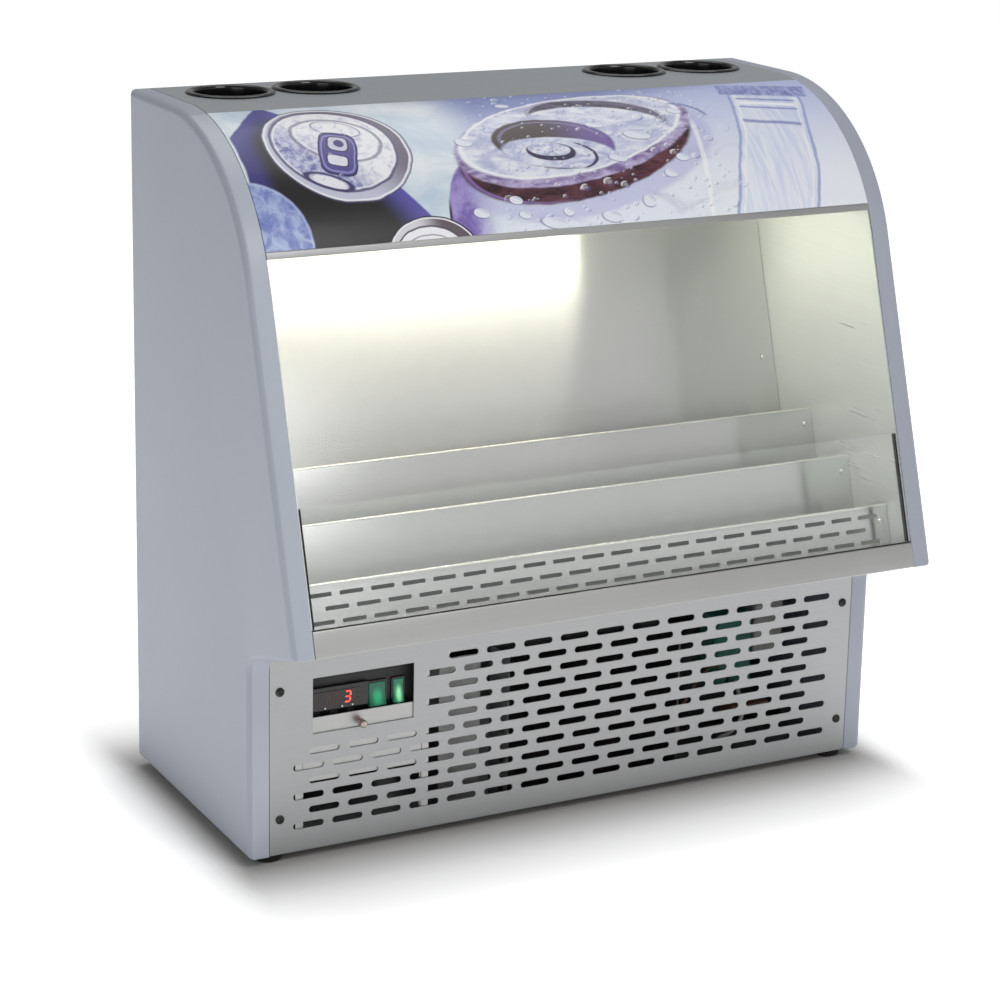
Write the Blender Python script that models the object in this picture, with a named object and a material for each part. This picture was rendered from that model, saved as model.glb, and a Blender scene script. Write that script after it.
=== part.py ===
"""Open-front countertop refrigerated merchandiser, as separate sub-parts, in metres with +Z up.

The origin is the middle of the footprint, on the surface that the feet stand on. The front faces -Y.
Display parts follow the leaning front: leaning(up, back) measures along it and square to it.
"""

import math

import bmesh
import bpy
from mathutils import Matrix, Vector

# Casing
WIDTH = 0.710
DEPTH = 0.406
TOP_Z = 0.713
FOOT_HEIGHT = 0.010
PANEL_THICK = 0.022
PANEL_WALL = 0.004
PANEL_EDGE_RADIUS = 0.008
BASE_SETBACK = 0.106
NOSE_Z = 0.246
LEAN = math.radians(17.5)
CROWN_RADIUS = 0.200
CROWN_STEPS = 12
INNER_FILLET = 0.018
SHEET = 0.0012
THICK_SHEET = 0.0015
GAP = 0.0003

FRONT_Y = -DEPTH / 2
BACK_Y = DEPTH / 2
BASE_Y = FRONT_Y + BASE_SETBACK
INNER_X = WIDTH / 2 - PANEL_THICK
FIT_X = INNER_X - GAP
LINER_THICK = 0.001
CLEAR_X = FIT_X - LINER_THICK - GAP
CROWN_TURN = math.pi / 2 - LEAN
CROWN_Y = FRONT_Y + (TOP_Z - NOSE_Z) * math.tan(LEAN) + CROWN_RADIUS * math.tan(CROWN_TURN / 2)
CROWN_Z = TOP_Z - CROWN_RADIUS

# Top and canopy
CANOPY_BACK_Y = 0.053
CANOPY_THICK = 0.003
LIP_Z = 0.595
LIP_FACE = 0.0065
LIP_RETURN = 0.030
CEILING_Z = 0.606
LAMP_REACH = 0.215
CUP_PITCH = 0.092
CUP_OUTER_X = 0.270
CUP_Y = 0.146
CUP_RIM_RADIUS = 0.0445
CUP_HOLE_RADIUS = 0.039
CUP_WALL = 0.002
CUP_DEPTH = 0.088
CUP_RIM_HEIGHT = 0.0025

# Display, measured up along the leaning front and back from it
DECK_UP = 0.020
SILL_UP = 0.0255
SILL_BACK = 0.014
GUARD_BACK = 0.0034
GUARD_THICK = 0.004
GUARD_TOP = 0.138
GROOVE_FLOOR = 0.010
FLOOR_UP = DECK_UP + GAP
GRILLE_BACK = 0.034
MIDDLE_BACK = 0.0925
REAR_BACK = 0.151
LINER_BACK = 0.210
GRILLE_TOP = 0.067
MIDDLE_TOP = 0.121
REAR_TOP = 0.175
TREAD_DROP = 0.056
HEM = 0.0045
AIR_SLOT = (0.024, 0.004)
AIR_PITCH = 0.0323
AIR_ROWS = (0.030, 0.043, 0.056)
AIR_COLUMNS = 20

# Base grille
GRILLE_RECESS = 0.0005
GRILLE_FACE_Y = BASE_Y + GRILLE_RECESS
GRILLE_BOTTOM = FOOT_HEIGHT + 0.002
GRILLE_HEIGHT = 0.1975
SLOT = (0.032, 0.0065)
SLOT_PITCH = 0.0415
SLOT_ROW_PITCH = 0.015
SLOT_START_X = -0.308
SLOT_BOTTOM_Z = 0.037
SLOT_OFFSET = 0.4
SCREW_X = 0.322
SCREW_ZS = (0.047, 0.177)

# Controls behind the base grille
CONTROL_X = -0.234
WINDOW = (0.1075, 0.0565)
WINDOW_BOTTOM = 0.129
SHUTTER = (0.127, 0.065)
SHUTTER_BOTTOM = 0.080
KNOB_X = -0.238
KNOB_Z = 0.1345
KNOB_RADIUS = 0.004
KNOB_REACH = 0.012
RAIL_Z = (0.028, 0.200)
RAIL_WIDTH = 0.0075
RAIL_HOOK = 0.0015
CONTROL_FACE_Y = BASE_Y + 0.013
CONTROL_DEPTH = 0.046
CONTROL_Z = 0.155
HOUSING = (0.140, 0.073)
CONTROLLER = (0.074, 0.032)
CONTROLLER_X = -0.262
CONTROLLER_BEZEL = 0.004
BUTTON = (0.008, 0.004)
BUTTON_XS = (-0.280, -0.262, -0.244)
BUTTON_Z = 0.1445
BUTTON_WELL = 0.003
BUTTON_PROUD = 0.0008
BUTTON_TRAVEL = 0.0014
ROCKERS = (("rocker_wide", -0.215, 0.0176), ("rocker_narrow", -0.1923, 0.0105))
ROCKER_HEIGHT = 0.0236
ROCKER_BARREL = 0.0085
ROCKER_DISH = 0.0018
ROCKER_PIVOT_DEPTH = 0.0035
ROCKER_TILT = math.radians(8)
SWITCH_CLEARANCE = 0.0007

# Rear, floor and feet
REAR_FACE_Y = BACK_Y - GAP - SHEET
VENT = (0.060, 0.006)
VENT_START = (-0.240, 0.040)
VENT_PITCH = (0.080, 0.020)
VENT_ROWS = 6
VENT_COLUMNS = 6
GLAND_X_Y = (-0.290, REAR_FACE_Y - 0.0016)
GLAND_Z = 0.060
PAN_LIP = 0.012
PAN_FLOOR = FOOT_HEIGHT + THICK_SHEET + 2 * GAP
FOOT_RADIUS = 0.014
FOOT_INSET = 0.022
FOOT_X = 0.326

# Machine compartment and air duct
DECK_FLAT_Z = 0.179
BACK_FOAM_Y = 0.172
FOAM_TOP_Z = 0.622
CONDENSER_FAN_X = 0.030
CONDENSER_FAN_Z = 0.095
CONDENSER_FAN_Y = -0.028
CONDENSER_FAN_RADIUS = 0.066
EVAPORATOR_FAN_Y = 0.112
EVAPORATOR_FAN_Z = 0.335
EVAPORATOR_FAN_RADIUS = 0.050
COMPRESSOR_X = 0.235
COMPRESSOR_Y = 0.045
COMPRESSOR_RADIUS = 0.062
FAN_DEPTH = 0.010
TRAY_WALL = 0.003
FIN_REACH = 0.004
CANOPY_BEHIND = 0.010

COLOURS = {
    "panel_grey": ((0.36, 0.38, 0.43), 0.0, 0.38),
    "top_grey": ((0.34, 0.34, 0.35), 0.0, 0.45),
    "steel": ((0.60, 0.60, 0.58), 1.0, 0.32),
    "galvanised": ((0.52, 0.54, 0.56), 1.0, 0.5),
    "print": ((0.45, 0.62, 0.82), 0.0, 0.2),
    "white": ((0.86, 0.87, 0.86), 0.0, 0.5),
    "black": ((0.02, 0.02, 0.02), 0.0, 0.4),
    "dark_metal": ((0.05, 0.05, 0.055), 0.6, 0.45),
    "rubber": ((0.015, 0.015, 0.015), 0.0, 0.8),
    "foam": ((0.80, 0.74, 0.55), 0.0, 0.9),
    "clear": ((0.9, 0.95, 0.95), 0.0, 0.03),
    "copper": ((0.72, 0.36, 0.20), 1.0, 0.3),
    "green": ((0.03, 0.45, 0.18), 0.0, 0.25),
    "teal": ((0.02, 0.30, 0.26), 0.0, 0.5),
    "chrome": ((0.8, 0.8, 0.8), 1.0, 0.12),
}


def clear_scene():
    for obj in list(bpy.data.objects):
        bpy.data.objects.remove(obj)


def material(name):
    """The material of this name, made on first use."""
    found = bpy.data.materials.get(name)
    if found:
        return found
    colour, metallic, roughness = COLOURS[name]
    made = bpy.data.materials.new(name)
    made.use_nodes = True
    shader = made.node_tree.nodes["Principled BSDF"]
    shader.inputs["Base Color"].default_value = (*colour, 1)
    shader.inputs["Metallic"].default_value = metallic
    shader.inputs["Roughness"].default_value = roughness
    return made


def leaning(up, back):
    """The (y, z) point this far up along the leaning front and back square to it, from its lower edge."""
    y = FRONT_Y + up * math.sin(LEAN) + back * math.cos(LEAN)
    z = NOSE_Z + up * math.cos(LEAN) - back * math.sin(LEAN)
    return (y, z)


def up_at(z, back):
    """How far up the leaning direction the height z is, at this distance back."""
    return (z - NOSE_Z + back * math.sin(LEAN)) / math.cos(LEAN)


def crown(inset, start, end, steps=CROWN_STEPS):
    """Points of the crown's arc between two angles from the vertical, this far inside its outer face."""
    radius = CROWN_RADIUS - inset
    points = []
    for i in range(steps + 1):
        angle = start + (end - start) * i / steps
        points.append((CROWN_Y - radius * math.sin(angle), CROWN_Z + radius * math.cos(angle)))
    return points


def crown_angle(z, inset=0):
    """The angle from the vertical at which the crown's arc, this far inside it, is at height z."""
    return math.acos((z - CROWN_Z) / (CROWN_RADIUS - inset))


def crown_y(z, inset=0):
    return CROWN_Y - (CROWN_RADIUS - inset) * math.sin(crown_angle(z, inset))


def round_corner(before, corner, after, radius, steps=4):
    """Points of the arc that rounds a corner between two others."""
    corner = Vector(corner)
    to_before = (Vector(before) - corner).normalized()
    to_after = (Vector(after) - corner).normalized()
    half = to_before.angle(to_after) / 2
    centre = corner + (to_before + to_after).normalized() * radius / math.sin(half)
    start = corner + to_before * radius / math.tan(half) - centre
    end = corner + to_after * radius / math.tan(half) - centre
    turn = start.angle_signed(end)
    return [tuple(centre + Matrix.Rotation(-turn * i / steps, 2) @ start) for i in range(steps + 1)]


def rectangle(centre, size):
    (x, z), (width, height) = centre, size
    return [
        (x - width / 2, z - height / 2),
        (x + width / 2, z - height / 2),
        (x + width / 2, z + height / 2),
        (x - width / 2, z + height / 2),
    ]


def stadium(centre, size, steps=3):
    """A slot's outline with round ends, its length along the first direction."""
    (x, z), (length, height) = centre, size
    radius = height / 2
    points = []
    for side in (1, -1):
        for i in range(steps + 1):
            angle = side * math.pi / 2 - math.pi * i / steps
            end_x = x + side * (length / 2 - radius)
            points.append((end_x + radius * math.cos(angle), z + radius * math.sin(angle)))
    return points


def circle(centre, radius, steps=24):
    angles = [math.tau * i / steps for i in range(steps)]
    return [(centre[0] + radius * math.cos(angle), centre[1] + radius * math.sin(angle)) for angle in angles]


def add_prism(bm, outline, low, high, axis="X"):
    """Adds an outline extruded from low to high; the outline's two directions are the other axes in order."""
    place = {
        "X": lambda p, along: (along, p[0], p[1]),
        "Y": lambda p, along: (p[0], along, p[1]),
        "Z": lambda p, along: (p[0], p[1], along),
    }[axis]
    near = [bm.verts.new(place(p, low)) for p in outline]
    far = [bm.verts.new(place(p, high)) for p in outline]
    faces = [bm.faces.new(near), bm.faces.new(far)]
    for i in range(len(outline)):
        j = (i + 1) % len(outline)
        faces.append(bm.faces.new((near[i], near[j], far[j], far[i])))
    return faces


def add_lathe(bm, profile, steps, matrix=None, ring=False):
    """Adds a turned solid from (radius, height) points, which end on the axis or close as a ring."""
    matrix = matrix or Matrix()
    circles = []
    for radius, height in profile:
        if radius == 0:
            circles.append([bm.verts.new(matrix @ Vector((0, 0, height)))])
            continue
        verts = []
        for i in range(steps):
            angle = math.tau * i / steps
            point = Vector((radius * math.cos(angle), radius * math.sin(angle), height))
            verts.append(bm.verts.new(matrix @ point))
        circles.append(verts)
    if ring:
        circles.append(circles[0])
    for lower, upper in zip(circles, circles[1:]):
        for i in range(steps):
            j = (i + 1) % steps
            below = [lower[i % len(lower)], lower[j % len(lower)]]
            above = [upper[j % len(upper)], upper[i % len(upper)]]
            bm.faces.new(list(dict.fromkeys(below + above)))


def finish(name, bm, material_name, origin=None, smooth=None):
    """Makes the object, with its origin moved to a joint's axis where one is given."""
    bmesh.ops.recalc_face_normals(bm, faces=bm.faces)
    mesh = bpy.data.meshes.new(name)
    bm.to_mesh(mesh)
    bm.free()
    obj = bpy.data.objects.new(name, mesh)
    bpy.context.scene.collection.objects.link(obj)
    mesh.materials.append(material(material_name))
    if origin:
        mesh.transform(Matrix.Translation(-Vector(origin)))
        obj.location = origin
    if smooth:
        mesh.shade_smooth()
        mesh.set_sharp_from_angle(angle=math.radians(smooth))
    return obj


def prism(name, outline, low, high, material_name, axis="X", **more):
    bm = bmesh.new()
    add_prism(bm, outline, low, high, axis)
    return finish(name, bm, material_name, **more)


def block(name, low, high, material_name, **more):
    outline = [(low[1], low[2]), (high[1], low[2]), (high[1], high[2]), (low[1], high[2])]
    return prism(name, outline, low[0], high[0], material_name, **more)


def turned(name, profile, steps, matrix, material_name, ring=False, **more):
    bm = bmesh.new()
    add_lathe(bm, profile, steps, matrix, ring)
    return finish(name, bm, material_name, smooth=35, **more)


def along(axis, place):
    """A matrix that turns +Z to the axis and moves to the place."""
    turn = Vector((0, 0, 1)).rotation_difference(Vector(axis))
    return Matrix.Translation(place) @ turn.to_matrix().to_4x4()


def combine(obj, shapes, operation):
    """Joins shapes to the object, or cuts them away, as one hidden tool. A shape is a function on a bmesh."""
    bm = bmesh.new()
    for shape in shapes:
        shape(bm)
    tool = finish(f"{obj.name}.{operation.lower()}", bm, "black")
    tool.hide_render = True
    tool.display_type = "WIRE"
    modifier = obj.modifiers.new(tool.name, "BOOLEAN")
    modifier.operation = operation
    modifier.solver = "EXACT"
    modifier.object = tool


def cut_prisms(obj, outlines, low, high, axis):
    """Cuts away each outline, extruded from low to high."""
    shapes = [lambda bm, o=outline: add_prism(bm, o, low, high, axis) for outline in outlines]
    combine(obj, shapes, "DIFFERENCE")


def side_outline():
    """The side panel's outline: set-back base, leaning front, round crown and flat top."""
    corner_back = BASE_SETBACK / math.cos(LEAN)
    corner = leaning(0, corner_back)
    foot = (BASE_Y, FOOT_HEIGHT)
    nose = (FRONT_Y, NOSE_Z)
    outline = [foot]
    outline += round_corner(foot, corner, nose, INNER_FILLET)
    outline.append(nose)
    outline += crown(0, CROWN_TURN, 0)
    outline += [(BACK_Y, TOP_Z), (BACK_Y, FOOT_HEIGHT)]
    return outline


def side_panels():
    """Two dished panels, hollow towards the inside, with a rounded outer edge."""
    for name, side in (("side_panel_left", -1), ("side_panel_right", 1)):
        bm = bmesh.new()
        inner, outer = add_prism(bm, side_outline(), side * INNER_X, side * WIDTH / 2)[:2]
        bmesh.ops.recalc_face_normals(bm, faces=bm.faces)
        bmesh.ops.bevel(
            bm, geom=list(outer.edges), offset=PANEL_EDGE_RADIUS, segments=3, profile=0.5, affect="EDGES"
        )
        bmesh.ops.inset_region(bm, faces=[inner], thickness=PANEL_WALL, use_even_offset=True)
        moved = bmesh.ops.extrude_face_region(bm, geom=[inner])["geom"]
        bmesh.ops.delete(bm, geom=[inner], context="FACES_ONLY")
        verts = [item for item in moved if isinstance(item, bmesh.types.BMVert)]
        bmesh.ops.translate(bm, verts=verts, vec=(side * (PANEL_THICK - PANEL_WALL), 0, 0))
        finish(name, bm, "panel_grey", smooth=30)


def inset_outline(outline, thickness):
    """The closed outline moved inwards by this thickness."""
    bm = bmesh.new()
    face = bm.faces.new([bm.verts.new((0, y, z)) for y, z in outline])
    bm.normal_update()
    bmesh.ops.inset_region(bm, faces=[face], thickness=thickness, use_even_offset=True, use_boundary=True)
    points = [(vert.co.y, vert.co.z) for vert in face.verts]
    bm.free()
    return points


def side_foam():
    """The foam core inside each dished side panel."""
    outline = inset_outline(side_outline(), PANEL_WALL + GAP)
    depth = WIDTH / 2 - PANEL_WALL - GAP
    prism("foam_left", outline, -depth, -INNER_X, "foam")
    prism("foam_right", outline, INNER_X, depth, "foam")


def top_panel():
    """The flat top sheet with its front edge on the crown, and four holes for the cup holders."""
    start = math.asin((CROWN_Y - CANOPY_BACK_Y) / CROWN_RADIUS)
    upper = crown(0, start, 0, 3) + [(BACK_Y - GAP, TOP_Z)]
    lower = [(BACK_Y - GAP, TOP_Z - THICK_SHEET)] + crown(THICK_SHEET, 0, start, 3)
    top = prism("top_panel", upper + lower, -FIT_X, FIT_X, "top_grey")
    holes = [circle((x, CUP_Y), CUP_HOLE_RADIUS) for x in cup_places()]
    cut_prisms(top, holes, TOP_Z - 2 * CANOPY_THICK, TOP_Z + CANOPY_THICK, "Z")


def cup_places():
    inner = CUP_OUTER_X - CUP_PITCH
    return (-CUP_OUTER_X, -inner, inner, CUP_OUTER_X)


def cup_holders():
    """Black cups with a low rounded rim that rests on the top panel."""
    outer = CUP_HOLE_RADIUS - GAP
    bore = outer - CUP_WALL
    rest = GAP
    profile = [
        (0, -CUP_DEPTH),
        (outer - CUP_WALL, -CUP_DEPTH),
        (outer, -CUP_DEPTH + CUP_WALL),
        (outer, rest),
        (CUP_RIM_RADIUS, rest),
        (CUP_RIM_RADIUS - CUP_WALL / 2, CUP_RIM_HEIGHT),
        (bore + CUP_WALL / 2, CUP_RIM_HEIGHT),
        (bore, CUP_RIM_HEIGHT - CUP_WALL / 2),
        (bore - CUP_WALL, -CUP_DEPTH + CUP_WALL),
        (0, -CUP_DEPTH + CUP_WALL),
    ]
    for number, x in enumerate(cup_places(), 1):
        turned(f"cup_holder_{number}", profile, 24, Matrix.Translation((x, CUP_Y, TOP_Z)), "black")


def canopy():
    """The curved printed panel, and the bright lip that holds its lower edge."""
    start = math.asin((CROWN_Y - CANOPY_BACK_Y) / CROWN_RADIUS) + GAP / CROWN_RADIUS
    low = LIP_Z + LIP_FACE + GAP
    outer = crown(0, start, crown_angle(low))
    inner = crown(CANOPY_THICK, crown_angle(low, CANOPY_THICK), start)
    prism("canopy_panel", outer + inner, -FIT_X, FIT_X, "print", smooth=25)

    front_low, front_high = crown_y(LIP_Z), crown_y(LIP_Z + LIP_FACE)
    lip = [
        (front_low, LIP_Z),
        (front_low + LIP_RETURN, LIP_Z),
        (front_low + LIP_RETURN, LIP_Z + SHEET),
        (front_high + CANOPY_THICK, LIP_Z + SHEET),
        (front_high + CANOPY_THICK, LIP_Z + LIP_FACE),
        (front_high, LIP_Z + LIP_FACE),
    ]
    prism("canopy_lip", lip, -FIT_X, FIT_X, "steel")


def ceiling_and_lamp():
    """The white ceiling over the display, and the lamp tucked up behind the canopy lip."""
    front = crown_y(CEILING_Z) + 2 * CANOPY_THICK
    back = leaning(up_at(CEILING_Z, LINER_BACK), LINER_BACK)[0]
    block("ceiling_panel", (-CLEAR_X, front, CEILING_Z), (CLEAR_X, back, CEILING_Z + SHEET), "white")
    radius = 0.005
    middle = (crown_y(LIP_Z) + LIP_RETURN + 2 * radius, CEILING_Z - 0.007)
    tube = [(0, 0), (radius, 0), (radius, 2 * LAMP_REACH), (0, 2 * LAMP_REACH)]
    turned("lamp_tube", tube, 12, along((1, 0, 0), (-LAMP_REACH, *middle)), "white")
    for name, side in (("lamp_holder_left", -1), ("lamp_holder_right", 1)):
        ends = sorted((side * (LAMP_REACH + GAP), side * (LAMP_REACH + 0.016)))
        low = (ends[0], middle[0] - 0.006, middle[1] - 0.005)
        high = (ends[1], middle[0] + 0.006, CEILING_Z - GAP)
        block(name, low, high, "white")


def sheet_step(top_up, tread_up, back, next_back):
    """A folded sheet's outline: a tread, a front plate with a hem folded back, and a foot below the tread."""
    hem = THICK_SHEET
    return [
        leaning(tread_up, next_back - GAP),
        leaning(tread_up, back + SHEET),
        leaning(top_up - HEM, back + SHEET),
        leaning(top_up - HEM, back + SHEET + hem),
        leaning(top_up, back + SHEET + hem),
        leaning(top_up, back),
        leaning(tread_up - SHEET, back),
        leaning(tread_up - SHEET, next_back - GAP),
    ]


def display():
    """Liner, floor, step plates, air grille, sill and guard: everything that leans with the front."""
    low_up = up_at(NOSE_Z, 0) + SILL_UP + GAP
    front_inset = 0.002
    liner_top = LIP_Z - GAP
    liner = [
        leaning(low_up, front_inset),
        leaning(up_at(CROWN_Z + CROWN_RADIUS * math.cos(CROWN_TURN), front_inset), front_inset),
        (crown_y(liner_top, front_inset), liner_top),
        leaning(up_at(liner_top, LINER_BACK), LINER_BACK),
        leaning(FLOOR_UP + GAP, LINER_BACK),
        leaning(FLOOR_UP + GAP, SILL_BACK + GAP),
        leaning(low_up, SILL_BACK + GAP),
    ]
    prism("liner_left", liner, -FIT_X, -FIT_X + LINER_THICK, "steel")
    prism("liner_right", liner, FIT_X - LINER_THICK, FIT_X, "steel")

    rear_tread = REAR_TOP - TREAD_DROP
    middle_tread = MIDDLE_TOP - TREAD_DROP
    plate_top = up_at(CEILING_Z - GAP, LINER_BACK)
    back_plate = [
        leaning(rear_tread - SHEET, LINER_BACK),
        leaning(plate_top, LINER_BACK),
        leaning(plate_top, LINER_BACK + SHEET),
        leaning(rear_tread - SHEET, LINER_BACK + SHEET),
    ]
    prism("liner_back", back_plate, -CLEAR_X, CLEAR_X, "steel")
    floor_end = LINER_BACK + SHEET
    floor = [
        leaning(FLOOR_UP, SILL_BACK + GAP),
        leaning(FLOOR_UP, floor_end),
        leaning(FLOOR_UP + SHEET, floor_end),
        leaning(FLOOR_UP + SHEET, SILL_BACK + GAP),
    ]
    prism("display_floor", floor, -CLEAR_X, CLEAR_X, "steel")

    rear = sheet_step(REAR_TOP, rear_tread, REAR_BACK, LINER_BACK)
    prism("step_plate_rear", rear, -CLEAR_X, CLEAR_X, "steel")
    middle = sheet_step(MIDDLE_TOP, middle_tread, MIDDLE_BACK, REAR_BACK)
    prism("step_plate_middle", middle, -CLEAR_X, CLEAR_X, "steel")
    air_grille()

    sill = [
        leaning(GAP, 0),
        leaning(GAP, SILL_BACK),
        leaning(SILL_UP, SILL_BACK),
        leaning(SILL_UP, GUARD_BACK + GUARD_THICK + GAP),
        leaning(GROOVE_FLOOR, GUARD_BACK + GUARD_THICK + GAP),
        leaning(GROOVE_FLOOR, GUARD_BACK - GAP),
        leaning(SILL_UP, GUARD_BACK - GAP),
        leaning(SILL_UP, 0),
    ]
    prism("sill_rail", sill, -FIT_X, FIT_X, "steel")
    guard = [
        leaning(GROOVE_FLOOR + GAP, GUARD_BACK),
        leaning(GUARD_TOP, GUARD_BACK),
        leaning(GUARD_TOP, GUARD_BACK + GUARD_THICK),
        leaning(GROOVE_FLOOR + GAP, GUARD_BACK + GUARD_THICK),
    ]
    prism("front_guard", guard, -CLEAR_X, CLEAR_X, "clear")


def air_grille():
    """The low front plate with three staggered rows of air slots, with a hem along its top."""
    tread = FLOOR_UP + SHEET + GAP + SHEET
    plate = prism(
        "air_grille", sheet_step(GRILLE_TOP, tread, GRILLE_BACK, MIDDLE_BACK), -CLEAR_X, CLEAR_X, "steel"
    )
    turn = Matrix.Rotation(-LEAN, 4, "X")
    place = Matrix.Translation((0, *leaning(0, GRILLE_BACK))) @ turn
    first = -AIR_PITCH * (AIR_COLUMNS - 1) / 2

    def slots(bm):
        for row, up in enumerate(AIR_ROWS):
            shift = row % 2 * AIR_PITCH / 2
            for column in range(AIR_COLUMNS - row % 2):
                centre = (first + column * AIR_PITCH + shift, up)
                add_prism(bm, rectangle(centre, AIR_SLOT), -2 * SHEET, 2 * SHEET, "Y")
        bmesh.ops.transform(bm, matrix=place, verts=bm.verts)

    combine(plate, [slots], "DIFFERENCE")


def slot_centres():
    """Middles of the base grille's slots. Rows beside the control window begin to the right of it."""
    rows, last = 11, 14
    for row in range(rows):
        staggered = row % 2
        first = 0
        if row > rows - 6:
            first = 3 if staggered else 4
        for column in range(first, last + 1 - staggered):
            x = SLOT_START_X + (column + SLOT_OFFSET * staggered) * SLOT_PITCH + SLOT[0] / 2
            yield (x, SLOT_BOTTOM_Z + row * SLOT_ROW_PITCH)


def base_grille():
    """The slotted base cover with its control window, and its four screws."""
    back = GRILLE_FACE_Y + SHEET
    top = GRILLE_BOTTOM + GRILLE_HEIGHT
    outline = [(-FIT_X, GRILLE_BOTTOM), (FIT_X, GRILLE_BOTTOM), (FIT_X, top), (-FIT_X, top)]
    cover = prism("base_grille", outline, GRILLE_FACE_Y, back, "steel", axis="Y")
    shank = 0.002
    holes = [stadium(centre, SLOT) for centre in slot_centres()]
    holes.append(rectangle((CONTROL_X, WINDOW_BOTTOM + WINDOW[1] / 2), WINDOW))
    places = [(side * SCREW_X, z) for side in (-1, 1) for z in SCREW_ZS]
    holes += [circle(place, shank + GAP, 8) for place in places]
    cut_prisms(cover, holes, GRILLE_FACE_Y - SHEET, back + SHEET, "Y")
    head = 0.0045
    reach = -0.010
    screw = [(0, reach), (shank, reach), (shank, GAP), (head, GAP)]
    screw += [(head, 0.0012), (0.003, 0.0022), (0, 0.0022)]
    for number, (x, z) in enumerate(places, 1):
        turned(f"grille_screw_{number}", screw, 12, along((0, -1, 0), (x, GRILLE_FACE_Y, z)), "black")


def shutter():
    """The plate that slides up behind the grille to close the control window, its knob and its rails."""
    front = GRILLE_FACE_Y + SHEET + GAP
    back = front + SHEET
    half = SHUTTER[0] / 2
    low = (CONTROL_X - half, front, SHUTTER_BOTTOM)
    high = (CONTROL_X + half, back, SHUTTER_BOTTOM + SHUTTER[1])
    block("control_shutter", low, high, "steel")
    knob = [
        (0, GAP),
        (0.0025, GAP),
        (0.0025, 0.004),
        (KNOB_RADIUS, 0.0055),
        (KNOB_RADIUS, KNOB_REACH - 0.001),
        (KNOB_RADIUS - 0.001, KNOB_REACH),
        (0, KNOB_REACH),
    ]
    turned("shutter_knob", knob, 16, along((0, -1, 0), (KNOB_X, front, KNOB_Z)), "chrome")
    for name, side in (("shutter_rail_left", -1), ("shutter_rail_right", 1)):
        near = CONTROL_X + side * (half + GAP)
        outline = [
            (near, front),
            (near, back + GAP),
            (near - side * RAIL_HOOK, back + GAP),
            (near - side * RAIL_HOOK, back + GAP + SHEET),
            (near + side * RAIL_WIDTH, back + GAP + SHEET),
            (near + side * RAIL_WIDTH, front),
        ]
        prism(name, outline, *RAIL_Z, "steel", axis="Z")


def controls():
    """The housing behind the window, the controller with its buttons, and two rocker switches."""
    face_back = CONTROL_FACE_Y + 2 * SHEET
    deep = CONTROL_FACE_Y + CONTROL_DEPTH
    outer = rectangle((CONTROL_X, CONTROL_Z), HOUSING)
    housing = prism("control_housing", outer, CONTROL_FACE_Y, deep, "black", axis="Y")
    inside = rectangle((CONTROL_X, CONTROL_Z), [size - 4 * SHEET for size in HOUSING])
    body = [size - CONTROLLER_BEZEL for size in CONTROLLER]
    body_hole = [size + 2 * GAP for size in body]
    openings = [rectangle((CONTROLLER_X, CONTROL_Z), body_hole)]
    hole_height = ROCKER_HEIGHT + 2 * SWITCH_CLEARANCE
    for _, x, width in ROCKERS:
        openings.append(rectangle((x, CONTROL_Z), (width + 2 * GAP, hole_height)))
    cut_prisms(housing, [inside], face_back, deep + SHEET, "Y")
    cut_prisms(housing, openings, CONTROL_FACE_Y - SHEET, face_back + SHEET, "Y")

    bezel_front = CONTROL_FACE_Y - CONTROLLER_BEZEL
    bezel = rectangle((CONTROLLER_X, CONTROL_Z), CONTROLLER)
    controller = prism("controller", bezel, bezel_front, CONTROL_FACE_Y - GAP, "black", axis="Y")
    core = rectangle((CONTROLLER_X, CONTROL_Z), body)
    combine(controller, [lambda bm: add_prism(bm, core, CONTROL_FACE_Y - 2 * SHEET, deep, "Y")], "UNION")
    wells = [rectangle((x, BUTTON_Z), [size + 2 * GAP for size in BUTTON]) for x in BUTTON_XS]
    cut_prisms(controller, wells, bezel_front - SHEET, bezel_front + BUTTON_WELL, "Y")
    for number, x in enumerate(BUTTON_XS, 1):
        key = rectangle((x, BUTTON_Z), BUTTON)
        front = bezel_front - BUTTON_PROUD
        back = bezel_front + BUTTON_WELL - BUTTON_TRAVEL
        prism(f"controller_button_{number}", key, front, back, "black", axis="Y")

    for name, x, width in ROCKERS:
        rocker(name, x, width)


def rocker(name, x, width):
    """A lit rocker on a barrel about its pivot, pressed at the top: it tips the other way on its joint."""
    half = ROCKER_HEIGHT / 2
    reach = ROCKER_BARREL
    skirt = -reach / 2
    outline = [(-reach, half), (-reach + ROCKER_DISH, 0), (-reach, -half), (skirt, -half)]
    for i in range(7):
        angle = math.radians(20 * i - 60)
        outline.append((reach * math.cos(angle), reach * math.sin(angle)))
    outline.append((skirt, half))
    pivot = (x, CONTROL_FACE_Y + ROCKER_PIVOT_DEPTH, CONTROL_Z)
    turn = Matrix.Rotation(-ROCKER_TILT, 2)
    tipped = [turn @ Vector(point) for point in outline]
    placed = [(pivot[1] + point[0], pivot[2] + point[1]) for point in tipped]
    prism(name, placed, x - width / 2, x + width / 2, "green", origin=pivot, smooth=25)


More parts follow.
